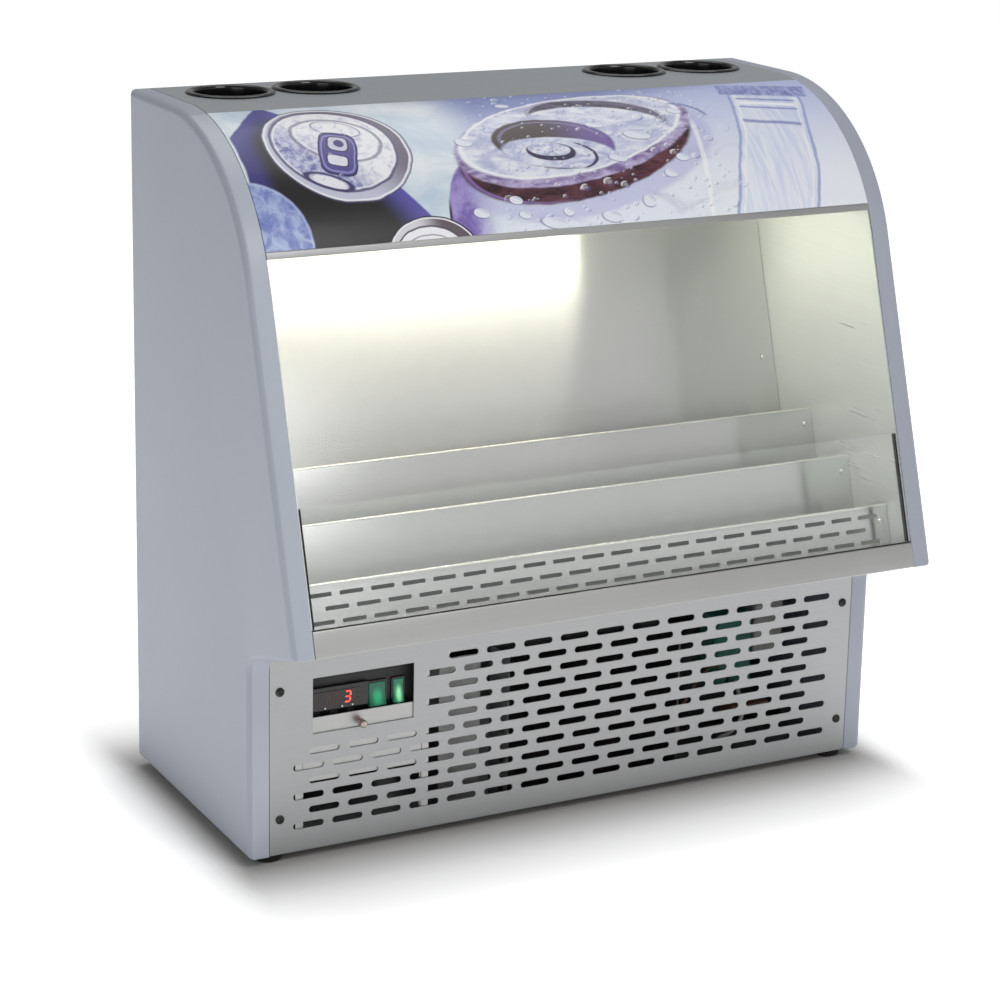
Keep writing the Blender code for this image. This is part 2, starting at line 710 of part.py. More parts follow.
def back_panel():
    """The rear sheet, with vents low down for the machine compartment."""
    outline = rectangle((0, (TOP_Z + FOOT_HEIGHT) / 2), (2 * FIT_X, TOP_Z - FOOT_HEIGHT - 0.004))
    panel = prism("back_panel", outline, REAR_FACE_Y, BACK_Y - GAP, "panel_grey", axis="Y")
    vents = []
    for row in range(VENT_ROWS):
        for column in range(VENT_COLUMNS):
            place = (VENT_START[0] + column * VENT_PITCH[0], VENT_START[1] + row * VENT_PITCH[1])
            vents.append(rectangle(place, VENT))
    cut_prisms(panel, vents, REAR_FACE_Y - SHEET, BACK_Y + SHEET, "Y")
    gland = [(0, 0), (0.010, 0), (0.010, 0.006), (0.007, 0.012), (0.0045, 0.012), (0.0045, 0.004), (0, 0.004)]
    turned("cord_gland", gland, 12, along((0, -1, 0), (*GLAND_X_Y, GLAND_Z)), "black")


def base_pan():
    """The folded floor of the machine compartment, and the rubber feet under it."""
    front, rear = GRILLE_FACE_Y + SHEET + GAP, REAR_FACE_Y - GAP
    low, inner = FOOT_HEIGHT + GAP, FOOT_HEIGHT + GAP + THICK_SHEET
    high = low + PAN_LIP
    pan = [
        (front, low),
        (rear, low),
        (rear, high),
        (rear - THICK_SHEET, high),
        (rear - THICK_SHEET, inner),
        (front + THICK_SHEET, inner),
        (front + THICK_SHEET, high),
        (front, high),
    ]
    prism("base_pan", pan, -FIT_X, FIT_X, "galvanised")
    height = FOOT_HEIGHT - GAP
    foot = [(0, 0), (0.012, 0), (FOOT_RADIUS, 0.002), (0.012, height), (0, height)]
    rows = (BASE_Y + FOOT_INSET, BACK_Y - FOOT_INSET)
    places = [(x, y) for y in rows for x in (-FOOT_X, FOOT_X)]
    for number, place in enumerate(places, 1):
        turned(f"foot_{number}", foot, 16, Matrix.Translation((*place, 0)), "rubber")


def foam():
    """The foamed deck, and the foamed back and ceiling, around the cold space."""
    rear = REAR_FACE_Y - 2 * GAP
    top = DECK_FLAT_Z + DECK_UP
    knee = (NOSE_Z - DECK_FLAT_Z) / math.sin(LEAN)
    step = (NOSE_Z + DECK_UP * math.cos(LEAN) - top) / math.sin(LEAN)
    deck = [
        leaning(GAP, SILL_BACK + GAP),
        leaning(0, knee),
        (rear, DECK_FLAT_Z),
        (rear, top),
        leaning(DECK_UP, step),
        leaning(DECK_UP, SILL_BACK + GAP),
    ]
    prism("foam_deck", deck, -FIT_X, FIT_X, "foam")
    front = crown_y(FOAM_TOP_Z) + CANOPY_BEHIND
    ceiling = CEILING_Z + SHEET + GAP
    back = [
        (BACK_FOAM_Y, top + GAP),
        (rear, top + GAP),
        (rear, FOAM_TOP_Z),
        (front, FOAM_TOP_Z),
        (front, ceiling),
        (BACK_FOAM_Y, ceiling),
    ]
    prism("foam_back", back, -CLEAR_X, CLEAR_X, "foam")


def finned(name, low, high, fins, material_name):
    """A coil block: a thick core with fins standing out on both sides, square to X."""
    middle = (low[1] + high[1]) / 2
    core = (high[1] - low[1]) / 2 - FIN_REACH
    pitch = (high[0] - low[0]) / (fins - 0.5)
    front, back = [], []
    for i in range(fins):
        x = low[0] + i * pitch
        front += [(x, middle - core), (x, low[1]), (x + pitch / 2, low[1]), (x + pitch / 2, middle - core)]
        back += [(x, middle + core), (x, high[1]), (x + pitch / 2, high[1]), (x + pitch / 2, middle + core)]
    outline = front[1:-1] + back[-2:0:-1]
    prism(name, outline, low[2], high[2], material_name, axis="Z")


def fan(name, centre, axis, radius, depth, material_name):
    """Five pitched blades on a hub, as one body about its joint's axis."""
    matrix = along(axis, centre)
    hub = radius * 0.28
    root = 0.9 * hub
    centre_boss = [(0, 0), (hub, 0), (hub, depth), (0, depth)]
    wheel = turned(name, centre_boss, 16, matrix, material_name, origin=centre)

    def blades(bm):
        for i in range(5):
            turn = Matrix.Rotation(math.tau * i / 5, 4, "Z") @ Matrix.Translation((0, 0, depth / 2))
            pitch = Matrix.Rotation(math.radians(24), 4, "X")
            size = (radius - root, depth * 1.5, 0.0014)
            middle = Matrix.Translation(((radius + root) / 2, 0, 0))
            scale = Matrix.Diagonal((*size, 1))
            bmesh.ops.create_cube(bm, size=1, matrix=matrix @ turn @ pitch @ middle @ scale)

    combine(wheel, [blades], "UNION")


def fan_frame(name, centre, axis, radius, reach, material_name):
    """A motor on three arms inside a ring, behind a fan."""
    matrix = along(axis, centre)
    ring_low, ring_high = -reach, -reach + 0.010
    outer, inner, motor_radius = radius + 0.006, radius + 0.003, 0.017
    hoop = [(inner, ring_low), (outer, ring_low), (outer, ring_high), (inner, ring_high)]
    steps = 24
    frame = turned(name, hoop, steps, matrix, material_name, ring=True)

    def motor(bm):
        can = [(0, -reach - 0.012), (motor_radius, -reach - 0.012), (motor_radius, -0.002), (0, -0.002)]
        add_lathe(bm, can, 16, matrix)

    def arms(bm):
        for i in range(3):
            turn = Matrix.Rotation(math.tau * (i / 3 + 0.5 / steps), 4, "Z")
            low, high = 0.6 * motor_radius, (inner + outer) / 2
            middle = Matrix.Translation(((low + high) / 2, 0, (ring_low + ring_high) / 2))
            scale = Matrix.Diagonal((high - low, 0.006, 0.004, 1))
            bmesh.ops.create_cube(bm, size=1, matrix=matrix @ turn @ middle @ scale)

    combine(frame, [arms], "UNION")
    combine(frame, [motor], "UNION")


def pipe(name, points, radius, material_name):
    """A bent tube along a smooth curve through the points."""
    curve = bpy.data.curves.new(name, "CURVE")
    curve.dimensions = "3D"
    curve.bevel_depth = radius
    curve.bevel_resolution = 1
    curve.use_fill_caps = True
    curve.resolution_u = 4
    spline = curve.splines.new("BEZIER")
    spline.bezier_points.add(len(points) - 1)
    for point, place in zip(spline.bezier_points, points):
        point.co = place
        point.handle_left_type = "AUTO"
        point.handle_right_type = "AUTO"
    curve.materials.append(material(material_name))
    obj = bpy.data.objects.new(name, curve)
    bpy.context.scene.collection.objects.link(obj)


def compressor():
    """The oval compressor on its foot plate, with its relay cover in front."""
    shell = [
        (0, PAN_FLOOR + 0.010),
        (0.045, PAN_FLOOR + 0.010),
        (COMPRESSOR_RADIUS, PAN_FLOOR + 0.026),
        (COMPRESSOR_RADIUS, 0.112),
        (0.057, 0.132),
        (0.042, 0.146),
        (0, 0.152),
    ]
    oval = Matrix.Diagonal((1.15, 1, 1, 1))
    place = Matrix.Translation((COMPRESSOR_X, COMPRESSOR_Y, 0)) @ oval
    can = turned("compressor", shell, 24, place, "dark_metal")
    plate = rectangle((COMPRESSOR_X, COMPRESSOR_Y), (0.168, 0.100))
    combine(can, [lambda bm: add_prism(bm, plate, PAN_FLOOR, PAN_FLOOR + 0.014, "Z")], "UNION")
    cover_back = COMPRESSOR_Y - COMPRESSOR_RADIUS - 0.001
    low = (COMPRESSOR_X - 0.040, cover_back - 0.031, 0.085)
    block("relay_cover", low, (COMPRESSOR_X + 0.008, cover_back, 0.165), "teal")


def coils_and_fans():
    finned("condenser", (-0.070, -0.086, PAN_FLOOR), (0.130, -0.046, 0.172), 20, "dark_metal")
    place = (CONDENSER_FAN_X, CONDENSER_FAN_Y, CONDENSER_FAN_Z)
    fan("condenser_fan", place, (0, -1, 0), CONDENSER_FAN_RADIUS, FAN_DEPTH, "galvanised")
    fan_frame("condenser_fan_motor", place, (0, -1, 0), CONDENSER_FAN_RADIUS, 0.030, "dark_metal")
    finned("evaporator", (-0.260, 0.075, 0.206), (0.260, 0.135, 0.290), 20, "galvanised")
    place = (0, EVAPORATOR_FAN_Y, EVAPORATOR_FAN_Z)
    fan("evaporator_fan", place, (0, 0, 1), EVAPORATOR_FAN_RADIUS, FAN_DEPTH, "galvanised")
    fan_frame("evaporator_fan_motor", place, (0, 0, 1), EVAPORATOR_FAN_RADIUS, 0.024, "dark_metal")


def small_machine_parts():
    """Junction box, suction pipe and condensate tray."""
    block("junction_box", (-0.134, -0.060, PAN_FLOOR), (-0.088, 0.040, 0.170), "galvanised")
    bend_x = COMPRESSOR_X - 0.110
    points = [
        (COMPRESSOR_X - 0.085, 0.060, 0.060),
        (bend_x + 0.005, 0.070, 0.085),
        (bend_x, 0.090, 0.130),
        (bend_x, 0.100, DECK_FLAT_Z - 0.002),
    ]
    pipe("suction_pipe", points, 0.004, "copper")
    low, high = (-0.300, 0.050), (-0.150, 0.180)
    tray = block("condensate_tray", (*low, PAN_FLOOR), (*high, 0.045), "black")
    middle = [(a + b) / 2 for a, b in zip(low, high)]
    hollow = rectangle(middle, [b - a - 2 * TRAY_WALL for a, b in zip(low, high)])
    cut_prisms(tray, [hollow], PAN_FLOOR + TRAY_WALL, TOP_Z, "Z")


def main():
    clear_scene()
    side_panels()
    side_foam()
    top_panel()
    cup_holders()
    canopy()
    ceiling_and_lamp()
    display()
    base_grille()
    shutter()
    controls()
    back_panel()
    base_pan()
    foam()
    compressor()
    coils_and_fans()
    small_machine_parts()


main()
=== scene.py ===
"""The looks of an open-front refrigerated merchandiser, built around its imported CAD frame."""

import math

import bmesh
import bpy
from mathutils import Matrix, Vector


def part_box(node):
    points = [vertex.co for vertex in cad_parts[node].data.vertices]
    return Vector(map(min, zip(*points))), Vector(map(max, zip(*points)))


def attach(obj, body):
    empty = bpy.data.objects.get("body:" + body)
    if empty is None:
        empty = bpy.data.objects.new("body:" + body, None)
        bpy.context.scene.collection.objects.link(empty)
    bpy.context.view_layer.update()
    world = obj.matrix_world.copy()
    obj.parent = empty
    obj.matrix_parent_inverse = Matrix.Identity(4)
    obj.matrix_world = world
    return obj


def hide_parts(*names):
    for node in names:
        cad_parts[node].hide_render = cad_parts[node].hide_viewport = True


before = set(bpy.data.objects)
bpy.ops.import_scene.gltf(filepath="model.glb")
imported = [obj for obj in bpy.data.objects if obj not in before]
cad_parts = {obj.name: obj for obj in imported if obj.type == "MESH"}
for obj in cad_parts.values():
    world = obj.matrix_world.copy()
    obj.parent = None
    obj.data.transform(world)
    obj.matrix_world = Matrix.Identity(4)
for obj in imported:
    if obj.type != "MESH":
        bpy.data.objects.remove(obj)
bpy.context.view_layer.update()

# The cabinet's own measures, in metres, as the CAD has them
WIDTH = 0.710
FRONT_Y = -0.203
BACK_Y = 0.203
TOP_Z = 0.713
FOOT_HEIGHT = 0.010
NOSE_Z = 0.246
LEAN = math.radians(17.5)
BASE_Y = -0.097
INNER_X = 0.333
FIT_X = 0.3327
CLEAR_X = 0.3314
CROWN_RADIUS = 0.200
CROWN_TURN = math.pi / 2 - LEAN
CROWN_Y = FRONT_Y + (TOP_Z - NOSE_Z) * math.tan(LEAN) + CROWN_RADIUS * math.tan(CROWN_TURN / 2)
CROWN_Z = TOP_Z - CROWN_RADIUS
SHEET = 0.0012
THICK_SHEET = 0.0015
GAP = 0.0003


# ---------------------------------------------------------------- node trees


class Value:
    """A value in a material's node tree, with arithmetic on it."""

    def __init__(self, tree, socket):
        self.tree = tree
        self.socket = socket

    def math(self, operation, *others):
        node = self.tree.nodes.new("ShaderNodeMath")
        node.operation = operation
        for place, item in enumerate((self, *others)):
            if isinstance(item, Value):
                self.tree.links.new(item.socket, node.inputs[place])
            else:
                node.inputs[place].default_value = item
        return Value(self.tree, node.outputs[0])

    def __add__(self, other):
        return self.math("ADD", other)

    def __sub__(self, other):
        return self.math("SUBTRACT", other)

    def __mul__(self, other):
        return self.math("MULTIPLY", other)

    def __truediv__(self, other):
        return self.math("DIVIDE", other)

    def step(self, low, high, smooth=True):
        """0 at low and 1 at high, in either order, and level beyond them."""
        node = self.tree.nodes.new("ShaderNodeMapRange")
        node.interpolation_type = "SMOOTHSTEP" if smooth else "LINEAR"
        self.tree.links.new(self.socket, node.inputs["Value"])
        node.inputs["From Min"].default_value = low
        node.inputs["From Max"].default_value = high
        return Value(self.tree, node.outputs["Result"])

    def span(self, low, high):
        """This value, from 0 to 1, stretched to run from low to high."""
        return self.math("MULTIPLY_ADD", high - low, low)


class Look:
    """A material on the Principled shader, with the pattern nodes that feed it."""

    def __init__(self, name, colour, roughness=0.5, metallic=0.0):
        self.material = bpy.data.materials.new(name)
        self.material.use_nodes = True
        self.tree = self.material.node_tree
        self.shader = self.tree.nodes["Principled BSDF"]
        self.coordinates = self.tree.nodes.new("ShaderNodeTexCoord")
        self.set("Base Color", (*colour, 1))
        self.set("Roughness", roughness)
        self.set("Metallic", metallic)
        self.bumps = None

    def set(self, socket, value):
        self.shader.inputs[socket].default_value = value

    def drive(self, socket, value):
        self.tree.links.new(value.socket, self.shader.inputs[socket])

    def places(self, scale=(1, 1, 1), source="Object", offset=(0, 0, 0)):
        node = self.tree.nodes.new("ShaderNodeMapping")
        self.tree.links.new(self.coordinates.outputs[source], node.inputs["Vector"])
        node.inputs["Scale"].default_value = scale
        node.inputs["Location"].default_value = offset
        return node.outputs["Vector"]

    def noise(self, scale, detail=3.0, rough=0.5, source="Object", offset=(0, 0, 0), distortion=0.0):
        """Noise from 0 to 1. A scale is one number or three, in features per metre."""
        node = self.tree.nodes.new("ShaderNodeTexNoise")
        scales = scale if isinstance(scale, tuple) else (scale,) * 3
        self.tree.links.new(self.places(scales, source, offset), node.inputs["Vector"])
        node.inputs["Scale"].default_value = 1
        node.inputs["Detail"].default_value = detail
        node.inputs["Roughness"].default_value = rough
        node.inputs["Distortion"].default_value = distortion
        return Value(self.tree, node.outputs[0])

    def axes(self, source="Object"):
        node = self.tree.nodes.new("ShaderNodeSeparateXYZ")
        self.tree.links.new(self.coordinates.outputs[source], node.inputs[0])
        return [Value(self.tree, node.outputs[i]) for i in range(3)]

    def mix(self, factor, first, second, blend="MIX"):
        """One colour over another, by a factor."""
        node = self.tree.nodes.new("ShaderNodeMix")
        node.data_type = "RGBA"
        node.blend_type = blend
        self.tree.links.new(factor.socket, node.inputs["Factor"])
        for place, colour in ((6, first), (7, second)):
            if isinstance(colour, Value):
                self.tree.links.new(colour.socket, node.inputs[place])
            else:
                node.inputs[place].default_value = (*colour, 1)
        return Value(self.tree, node.outputs[2])

    def bump(self, height, strength, distance=0.001):
        node = self.tree.nodes.new("ShaderNodeBump")
        node.inputs["Strength"].default_value = strength
        node.inputs["Distance"].default_value = distance
        self.tree.links.new(height.socket, node.inputs["Height"])
        if self.bumps:
            self.tree.links.new(self.bumps, node.inputs["Normal"])
        self.bumps = node.outputs["Normal"]
        self.tree.links.new(self.bumps, self.shader.inputs["Normal"])

    def grain_along(self):
        """Turns the anisotropic shine so that it spreads square to a level grain."""
        geometry = self.tree.nodes.new("ShaderNodeNewGeometry")
        cross = self.tree.nodes.new("ShaderNodeVectorMath")
        cross.operation = "CROSS_PRODUCT"
        self.tree.links.new(geometry.outputs["Normal"], cross.inputs[0])
        cross.inputs[1].default_value = (0, 0, 1)
        self.tree.links.new(cross.outputs[0], self.shader.inputs["Tangent"])
        self.set("Anisotropic Rotation", 0.25)

    def vary(self, noise, amount, colour):
        """The colour, a little darker and lighter with the noise."""
        dark = [channel * (1 - amount) for channel in colour]
        light = [min(1, channel * (1 + amount)) for channel in colour]
        self.drive("Base Color", self.mix(noise, dark, light))


def srgb(red, green, blue):
    """Linear colour from display values of 0 to 255."""

    def linear(value):
        share = value / 255
        return share / 12.92 if value < 11 else ((share + 0.055) / 1.055) ** 2.4

    return linear(red), linear(green), linear(blue)


def painted(name, colour, roughness=0.42, metallic=0.0, peel=0.10):
    """Powder coat: fine orange peel, a slight mottle and small scuffs."""
    look = Look(name, colour, roughness, metallic)
    look.set("Coat Weight", 0.12)
    look.set("Coat Roughness", 0.25)
    mottle = look.noise(14, 4)
    look.vary(mottle, 0.035, colour)
    speck = look.noise(420, 2)
    gloss = (mottle * 0.5 + speck * 0.5).step(0.2, 0.8, False)
    look.drive("Roughness", gloss.span(roughness - 0.06, roughness + 0.08))
    look.bump(look.noise(900, 2), peel, 0.0004)
    return look.material


def brushed(
    name, colour, roughness, grain="X", aniso=0.85, depth=0.0, mottle=0.03, metallic=1.0, swing=0.035, streak=0.5
):
    """Brushed stainless steel. The grain's lines run along one axis."""
    look = Look(name, colour, roughness, metallic)
    stretch = {"X": (6, 420, 420), "Y": (420, 6, 420)}[grain]
    lines = look.noise(stretch, 2, 0.5)
    cloud = look.noise(7, 3)
    tone = lines * streak + cloud * (1 - streak)
    look.vary(tone.step(0.3, 0.7, False), mottle, colour)
    look.drive("Roughness", tone.step(0.3, 0.7, False).span(roughness - swing, roughness + swing))
    if aniso:
        look.set("Anisotropic", aniso)
        look.grain_along()
    if depth:
        look.bump(lines, depth, 0.0002)
    return look.material


def moulded(name, colour, roughness, texture=0.06, scale=700):
    """Moulded plastic: a fine texture and slightly uneven gloss."""
    look = Look(name, colour, roughness)
    fine = look.noise(scale, 3)
    broad = look.noise(25, 3)
    look.vary(broad, 0.08, colour)
    gloss = (fine * 0.4 + broad * 0.6).step(0.25, 0.75, False)
    look.drive("Roughness", gloss.span(roughness - 0.07, roughness + 0.08))
    look.bump(fine, texture, 0.0003)
    return look.material


def cast_metal(name, colour, roughness, metallic=0.6, scale=260):
    """Painted or cast machine metal, with a coarse skin and dust in its broad patches."""
    look = Look(name, colour, roughness, metallic)
    fine = look.noise(scale, 4, 0.6)
    dust = look.noise(18, 5, 0.6)
    light = [channel * 0.6 + 0.4 * 0.30 for channel in colour]
    look.drive("Base Color", look.mix(dust.step(0.5, 0.85), colour, light))
    look.drive("Roughness", fine.span(roughness - 0.08, roughness + 0.12))
    look.bump(fine, 0.12, 0.0006)
    return look.material


def clear(name, tint, alpha, roughness=0.04):
    """A clear pane: a faint film with a bright shine, streaked slightly by cleaning."""
    look = Look(name, tint, roughness)
    look.set("Specular IOR Level", 0.8)
    streaks = look.noise((5, 60, 9), 3)
    look.drive("Alpha", streaks.span(alpha * 0.7, alpha * 1.3))
    look.drive("Roughness", streaks.span(roughness * 0.6, roughness * 1.6))
    return look.material


def glowing(name, colour, strength, edge):
    """A lit lens: the light fades towards darker patches where its source is further away."""
    look = Look(name, colour, 0.25)
    cells = look.noise(260, 2)
    look.drive("Base Color", look.mix(cells, colour, edge))
    look.drive("Emission Color", look.mix(cells.step(0.35, 0.7), colour, edge))
    look.set("Emission Strength", strength)
    look.bump(cells, 0.08, 0.0003)
    return look.material


def lit_rocker(name, edge, middle, x, width, strength):
    """Green plastic lit from behind: bright in its lower middle and dark towards its edges."""
    look = Look(name, edge, 0.30)
    across, _, up = look.axes()
    sideways = (across - x) * (2.2 / width)
    upwards = (up - 0.152) * (1 / 0.0125)
    glow = (sideways * sideways + upwards * upwards).math("SQRT").step(1.0, 0.15)
    cells = look.noise(420, 2)
    tone = look.mix(glow * cells.span(0.75, 1.1), edge, middle)
    look.drive("Base Color", tone)
    look.drive("Emission Color", tone)
    look.set("Emission Strength", strength)
    look.bump(cells, 0.06, 0.0003)
    return look.material


# ------------------------------------------------------------------- shapes


def leaning(up, back):
    """The (y, z) point this far up along the leaning front and back square to it, from its lower edge."""
    y = FRONT_Y + up * math.sin(LEAN) + back * math.cos(LEAN)
    z = NOSE_Z + up * math.cos(LEAN) - back * math.sin(LEAN)
    return (y, z)


def crown(inset, start, end, steps):
    """Points (y, z) along the round crown, between two angles measured from its top."""
    radius = CROWN_RADIUS - inset
    angles = [start + (end - start) * i / steps for i in range(steps + 1)]
    return [(CROWN_Y - radius * math.sin(angle), CROWN_Z + radius * math.cos(angle)) for angle in angles]


def crown_angle(z, inset=0.0):
    """The crown's angle at this height."""
    return math.acos((z - CROWN_Z) / (CROWN_RADIUS - inset))


def crown_y(z, inset=0.0):
    return CROWN_Y - (CROWN_RADIUS - inset) * math.sin(crown_angle(z, inset))


def rounded(points, radius, steps=4, keep=()):
    """The closed outline, each corner rounded as far as its sides allow. Corners in keep stay sharp."""
    result = []
    for i, corner in enumerate(points):
        before, here, after = (Vector(points[j % len(points)]) for j in (i - 1, i, i + 1))
        into, out = (before - here), (after - here)
        if i in keep or into.length < 1e-7 or out.length < 1e-7:
            result.append(tuple(corner))
            continue
        half = into.angle(out) / 2
        if half > math.radians(86):
            result.append(tuple(corner))
            continue
        reach = min(radius / math.tan(half), 0.49 * into.length, 0.49 * out.length)
        real = reach * math.tan(half)
        centre = here + (into.normalized() + out.normalized()).normalized() * real / math.sin(half)
        first = here + into.normalized() * reach - centre
        last = here + out.normalized() * reach - centre
        turn = first.angle_signed(last)
        for step in range(steps + 1):
            angle = -turn * step / steps
            cos, sin = math.cos(angle), math.sin(angle)
            across, up = first.x * cos - first.y * sin, first.x * sin + first.y * cos
            result.append((centre.x + across, centre.y + up))
    return result


def rectangle(x, y, width, height):
    """An outline by its middle and its size."""
    return [
        (x - width / 2, y - height / 2),
        (x + width / 2, y - height / 2),
        (x + width / 2, y + height / 2),
        (x - width / 2, y + height / 2),
    ]


def stadium(x, y, width, height, steps=8):
    return rounded(rectangle(x, y, width, height), min(width, height) / 2, steps)


def circle(x, y, radius, steps=48):
    angles = [math.tau * i / steps for i in range(steps)]
    return [(x + radius * math.cos(angle), y + radius * math.sin(angle)) for angle in angles]


def piece(name, bm, look, body="cabinet", slot=None, replaces=(), smooth=40, extra=()):
    """Makes an object from the bmesh, with its material, on its body, standing for the named CAD nodes."""
    bmesh.ops.recalc_face_normals(bm, faces=bm.faces)
    mesh = bpy.data.meshes.new(name)
    bm.to_mesh(mesh)
    bm.free()
    return piece_of_mesh(name, mesh, look, body, slot, replaces, smooth, extra)


def piece_of_mesh(name, mesh, look, body="cabinet", slot=None, replaces=(), smooth=40, extra=()):
    """As piece, from a mesh. Edges sharper than smooth degrees stay sharp, and 0 keeps every face flat."""
    for key in (look, *extra):
        mesh.materials.append(LOOKS[key])
    if smooth:
        mesh.shade_smooth()
        mesh.set_sharp_from_angle(angle=math.radians(smooth))
    obj = bpy.data.objects.new(name, mesh)
    bpy.context.scene.collection.objects.link(obj)
    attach(obj, body)
    if replaces:
        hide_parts(*replaces)
    return obj


def bevel(obj, width, segments=2, angle=35):
    """A rounded edge on the finished shape."""
    modifier = obj.modifiers.new("edge", "BEVEL")
    modifier.width = width
    modifier.segments = segments
    modifier.limit_method = "ANGLE"
    modifier.angle_limit = math.radians(angle)
    modifier.use_clamp_overlap = True
    return obj


def spot(axis, u, v, w):
    """A point with (u, v) in the plane square to the axis and w along it."""
    return {"X": (w, u, v), "Y": (u, w, v), "Z": (u, v, w)}[axis]


def add_prism(bm, outline, low, high, axis="X"):
    near = [bm.verts.new(spot(axis, u, v, low)) for u, v in outline]
    far = [bm.verts.new(spot(axis, u, v, high)) for u, v in outline]
    faces = [bm.faces.new(near), bm.faces.new(far)]
    for i in range(len(outline)):
        j = (i + 1) % len(outline)
        faces.append(bm.faces.new((near[i], near[j], far[j], far[i])))
    return faces


def add_box(bm, low, high):
    outline = [(low[0], low[1]), (high[0], low[1]), (high[0], high[1]), (low[0], high[1])]
    return add_prism(bm, outline, low[2], high[2], "Z")


def add_slab(bm, first, second):
    """Closes two equal grids of points into a thin slab."""

    def strip(lower, upper):
        for i in range(len(lower) - 1):
            bm.faces.new((lower[i], lower[i + 1], upper[i + 1], upper[i]))

    for grid in (first, second):
        for near, far in zip(grid, grid[1:]):
            strip(near, far)
    for end in (0, -1):
        strip(first[end], second[end])
        strip([line[end] for line in first], [line[end] for line in second])


def prism(name, outline, low, high, look, axis="X", **more):
    bm = bmesh.new()
    add_prism(bm, outline, low, high, axis)
    return piece(name, bm, look, **more)


def box(name, low, high, look, edge=0.0006, **more):
    bm = bmesh.new()
    add_box(bm, low, high)
    return bevel(piece(name, bm, look, **more), edge)


def add_lathe(bm, profile, steps, matrix):
    """Adds a turned surface from (radius, height) points. Points at radius 0 close it on the axis."""
    angles = [math.tau * i / steps for i in range(steps)]
    rings = []
    for radius, height in profile:
        if radius == 0:
            rings.append([bm.verts.new(matrix @ Vector((0, 0, height)))])
        else:
            points = [(radius * math.cos(angle), radius * math.sin(angle), height) for angle in angles]
            rings.append([bm.verts.new(matrix @ Vector(point)) for point in points])
    for lower, upper in zip(rings, rings[1:]):
        for i in range(steps):
            j = (i + 1) % steps
            below = [lower[i % len(lower)], lower[j % len(lower)]]
            above = [upper[j % len(upper)], upper[i % len(upper)]]
            corners = list(dict.fromkeys(below + above))
            if len(corners) > 2:
                bm.faces.new(corners)


def along(axis, point):
    """Stands what is drawn along Z at the point, along this axis."""
    turn = Vector((0, 0, 1)).rotation_difference(Vector(axis))
    return Matrix.Translation(point) @ turn.to_matrix().to_4x4()


def turned(name, profile, look, matrix, steps=48, **more):
    bm = bmesh.new()
    add_lathe(bm, profile, steps, matrix)
    return piece(name, bm, look, **more)


def mesh_of(curve):
    """The mesh that the curve's fill or tube makes."""
    source = bpy.data.objects.new(curve.name + "_source", curve)
    bpy.context.scene.collection.objects.link(source)
    bpy.context.view_layer.update()
    graph = bpy.context.evaluated_depsgraph_get()
    mesh = bpy.data.meshes.new_from_object(source.evaluated_get(graph))
    bpy.data.objects.remove(source)
    return mesh


def plate(name, outline, holes, thickness, look, matrix, edge=0.0002, **more):
    """A flat sheet with holes and soft edges, drawn in XY from z 0 to its thickness, then placed."""
    curve = bpy.data.curves.new(name, "CURVE")
    curve.dimensions = "2D"
    curve.fill_mode = "BOTH"
    curve.extrude = thickness / 2 - edge
    curve.bevel_depth = edge
    curve.bevel_resolution = 1
    curve.offset = -edge
    for points in (outline, *holes):
        spline = curve.splines.new("POLY")
        spline.points.add(len(points) - 1)
        for point, (x, y) in zip(spline.points, points):
            point.co = (x, y, 0, 1)
        spline.use_cyclic_u = True
    mesh = mesh_of(curve)
    bm = bmesh.new()
    bm.from_mesh(mesh)
    bmesh.ops.remove_doubles(bm, verts=bm.verts, dist=1e-6)
    bmesh.ops.transform(bm, matrix=matrix @ Matrix.Translation((0, 0, thickness / 2)), verts=bm.verts)
    for face in bm.faces:
        face.material_index = 0
    more.setdefault("smooth", 15)
    return piece(name, bm, look, **more)


def facing(y):
    """Puts a plate drawn in XY upright, with its face towards the front at this y."""
    return Matrix(((1, 0, 0, 0), (0, 0, 1, y), (0, 1, 0, 0), (0, 0, 0, 1)))


def leaning_face(back):
    """Puts a plate drawn in X and up-the-front on the leaning front, its face this far back from it."""
    y, z = leaning(0, back)
    sin, cos = math.sin(LEAN), math.cos(LEAN)
    return Matrix(((1, 0, 0, 0), (0, sin, cos, y), (0, cos, -sin, z), (0, 0, 0, 1)))


def tube(name, points, radius, look, **more):
    """A round tube or wire through the points, smoothly."""
    curve = bpy.data.curves.new(name, "CURVE")
    curve.dimensions = "3D"
    curve.bevel_depth = radius
    curve.bevel_resolution = 5
    curve.resolution_u = 16
    curve.use_fill_caps = True
    spline = curve.splines.new("BEZIER")
    spline.bezier_points.add(len(points) - 1)
    for point, co in zip(spline.bezier_points, points):
        point.co = co
        point.handle_left_type = "AUTO"
        point.handle_right_type = "AUTO"
    mesh = mesh_of(curve)
    mesh.materials.clear()
    mesh.name = name
    return piece_of_mesh(name, mesh, look, **more)


# ------------------------------------------------------------- canopy print

INK_STRENGTH = 0.80
BEADS = (
    (0.267, 0.032, 0.0075, 0.0045),
    (0.227, 0.021, 0.0085, 0.0050),
    (0.273, 0.016, 0.0065, 0.0040),
    (0.321, 0.016, 0.0060, 0.0045),
    (0.304, 0.006, 0.0155, 0.0060),
    (0.427, 0.099, 0.0150, 0.0060),
    (0.394, 0.071, 0.0105, 0.0045),
    (0.466, 0.067, 0.0075, 0.0050),
    (0.413, 0.021, 0.0080, 0.0070),
    (0.368, 0.008, 0.0120, 0.0060),
    (0.486, 0.132, 0.0080, 0.0045),
    (0.235, 0.104, 0.0090, 0.0060),
    (0.303, 0.160, 0.0080, 0.0040),
    (0.386, 0.117, 0.0100, 0.0040),
    (0.446, 0.049, 0.0070, 0.0050),
)


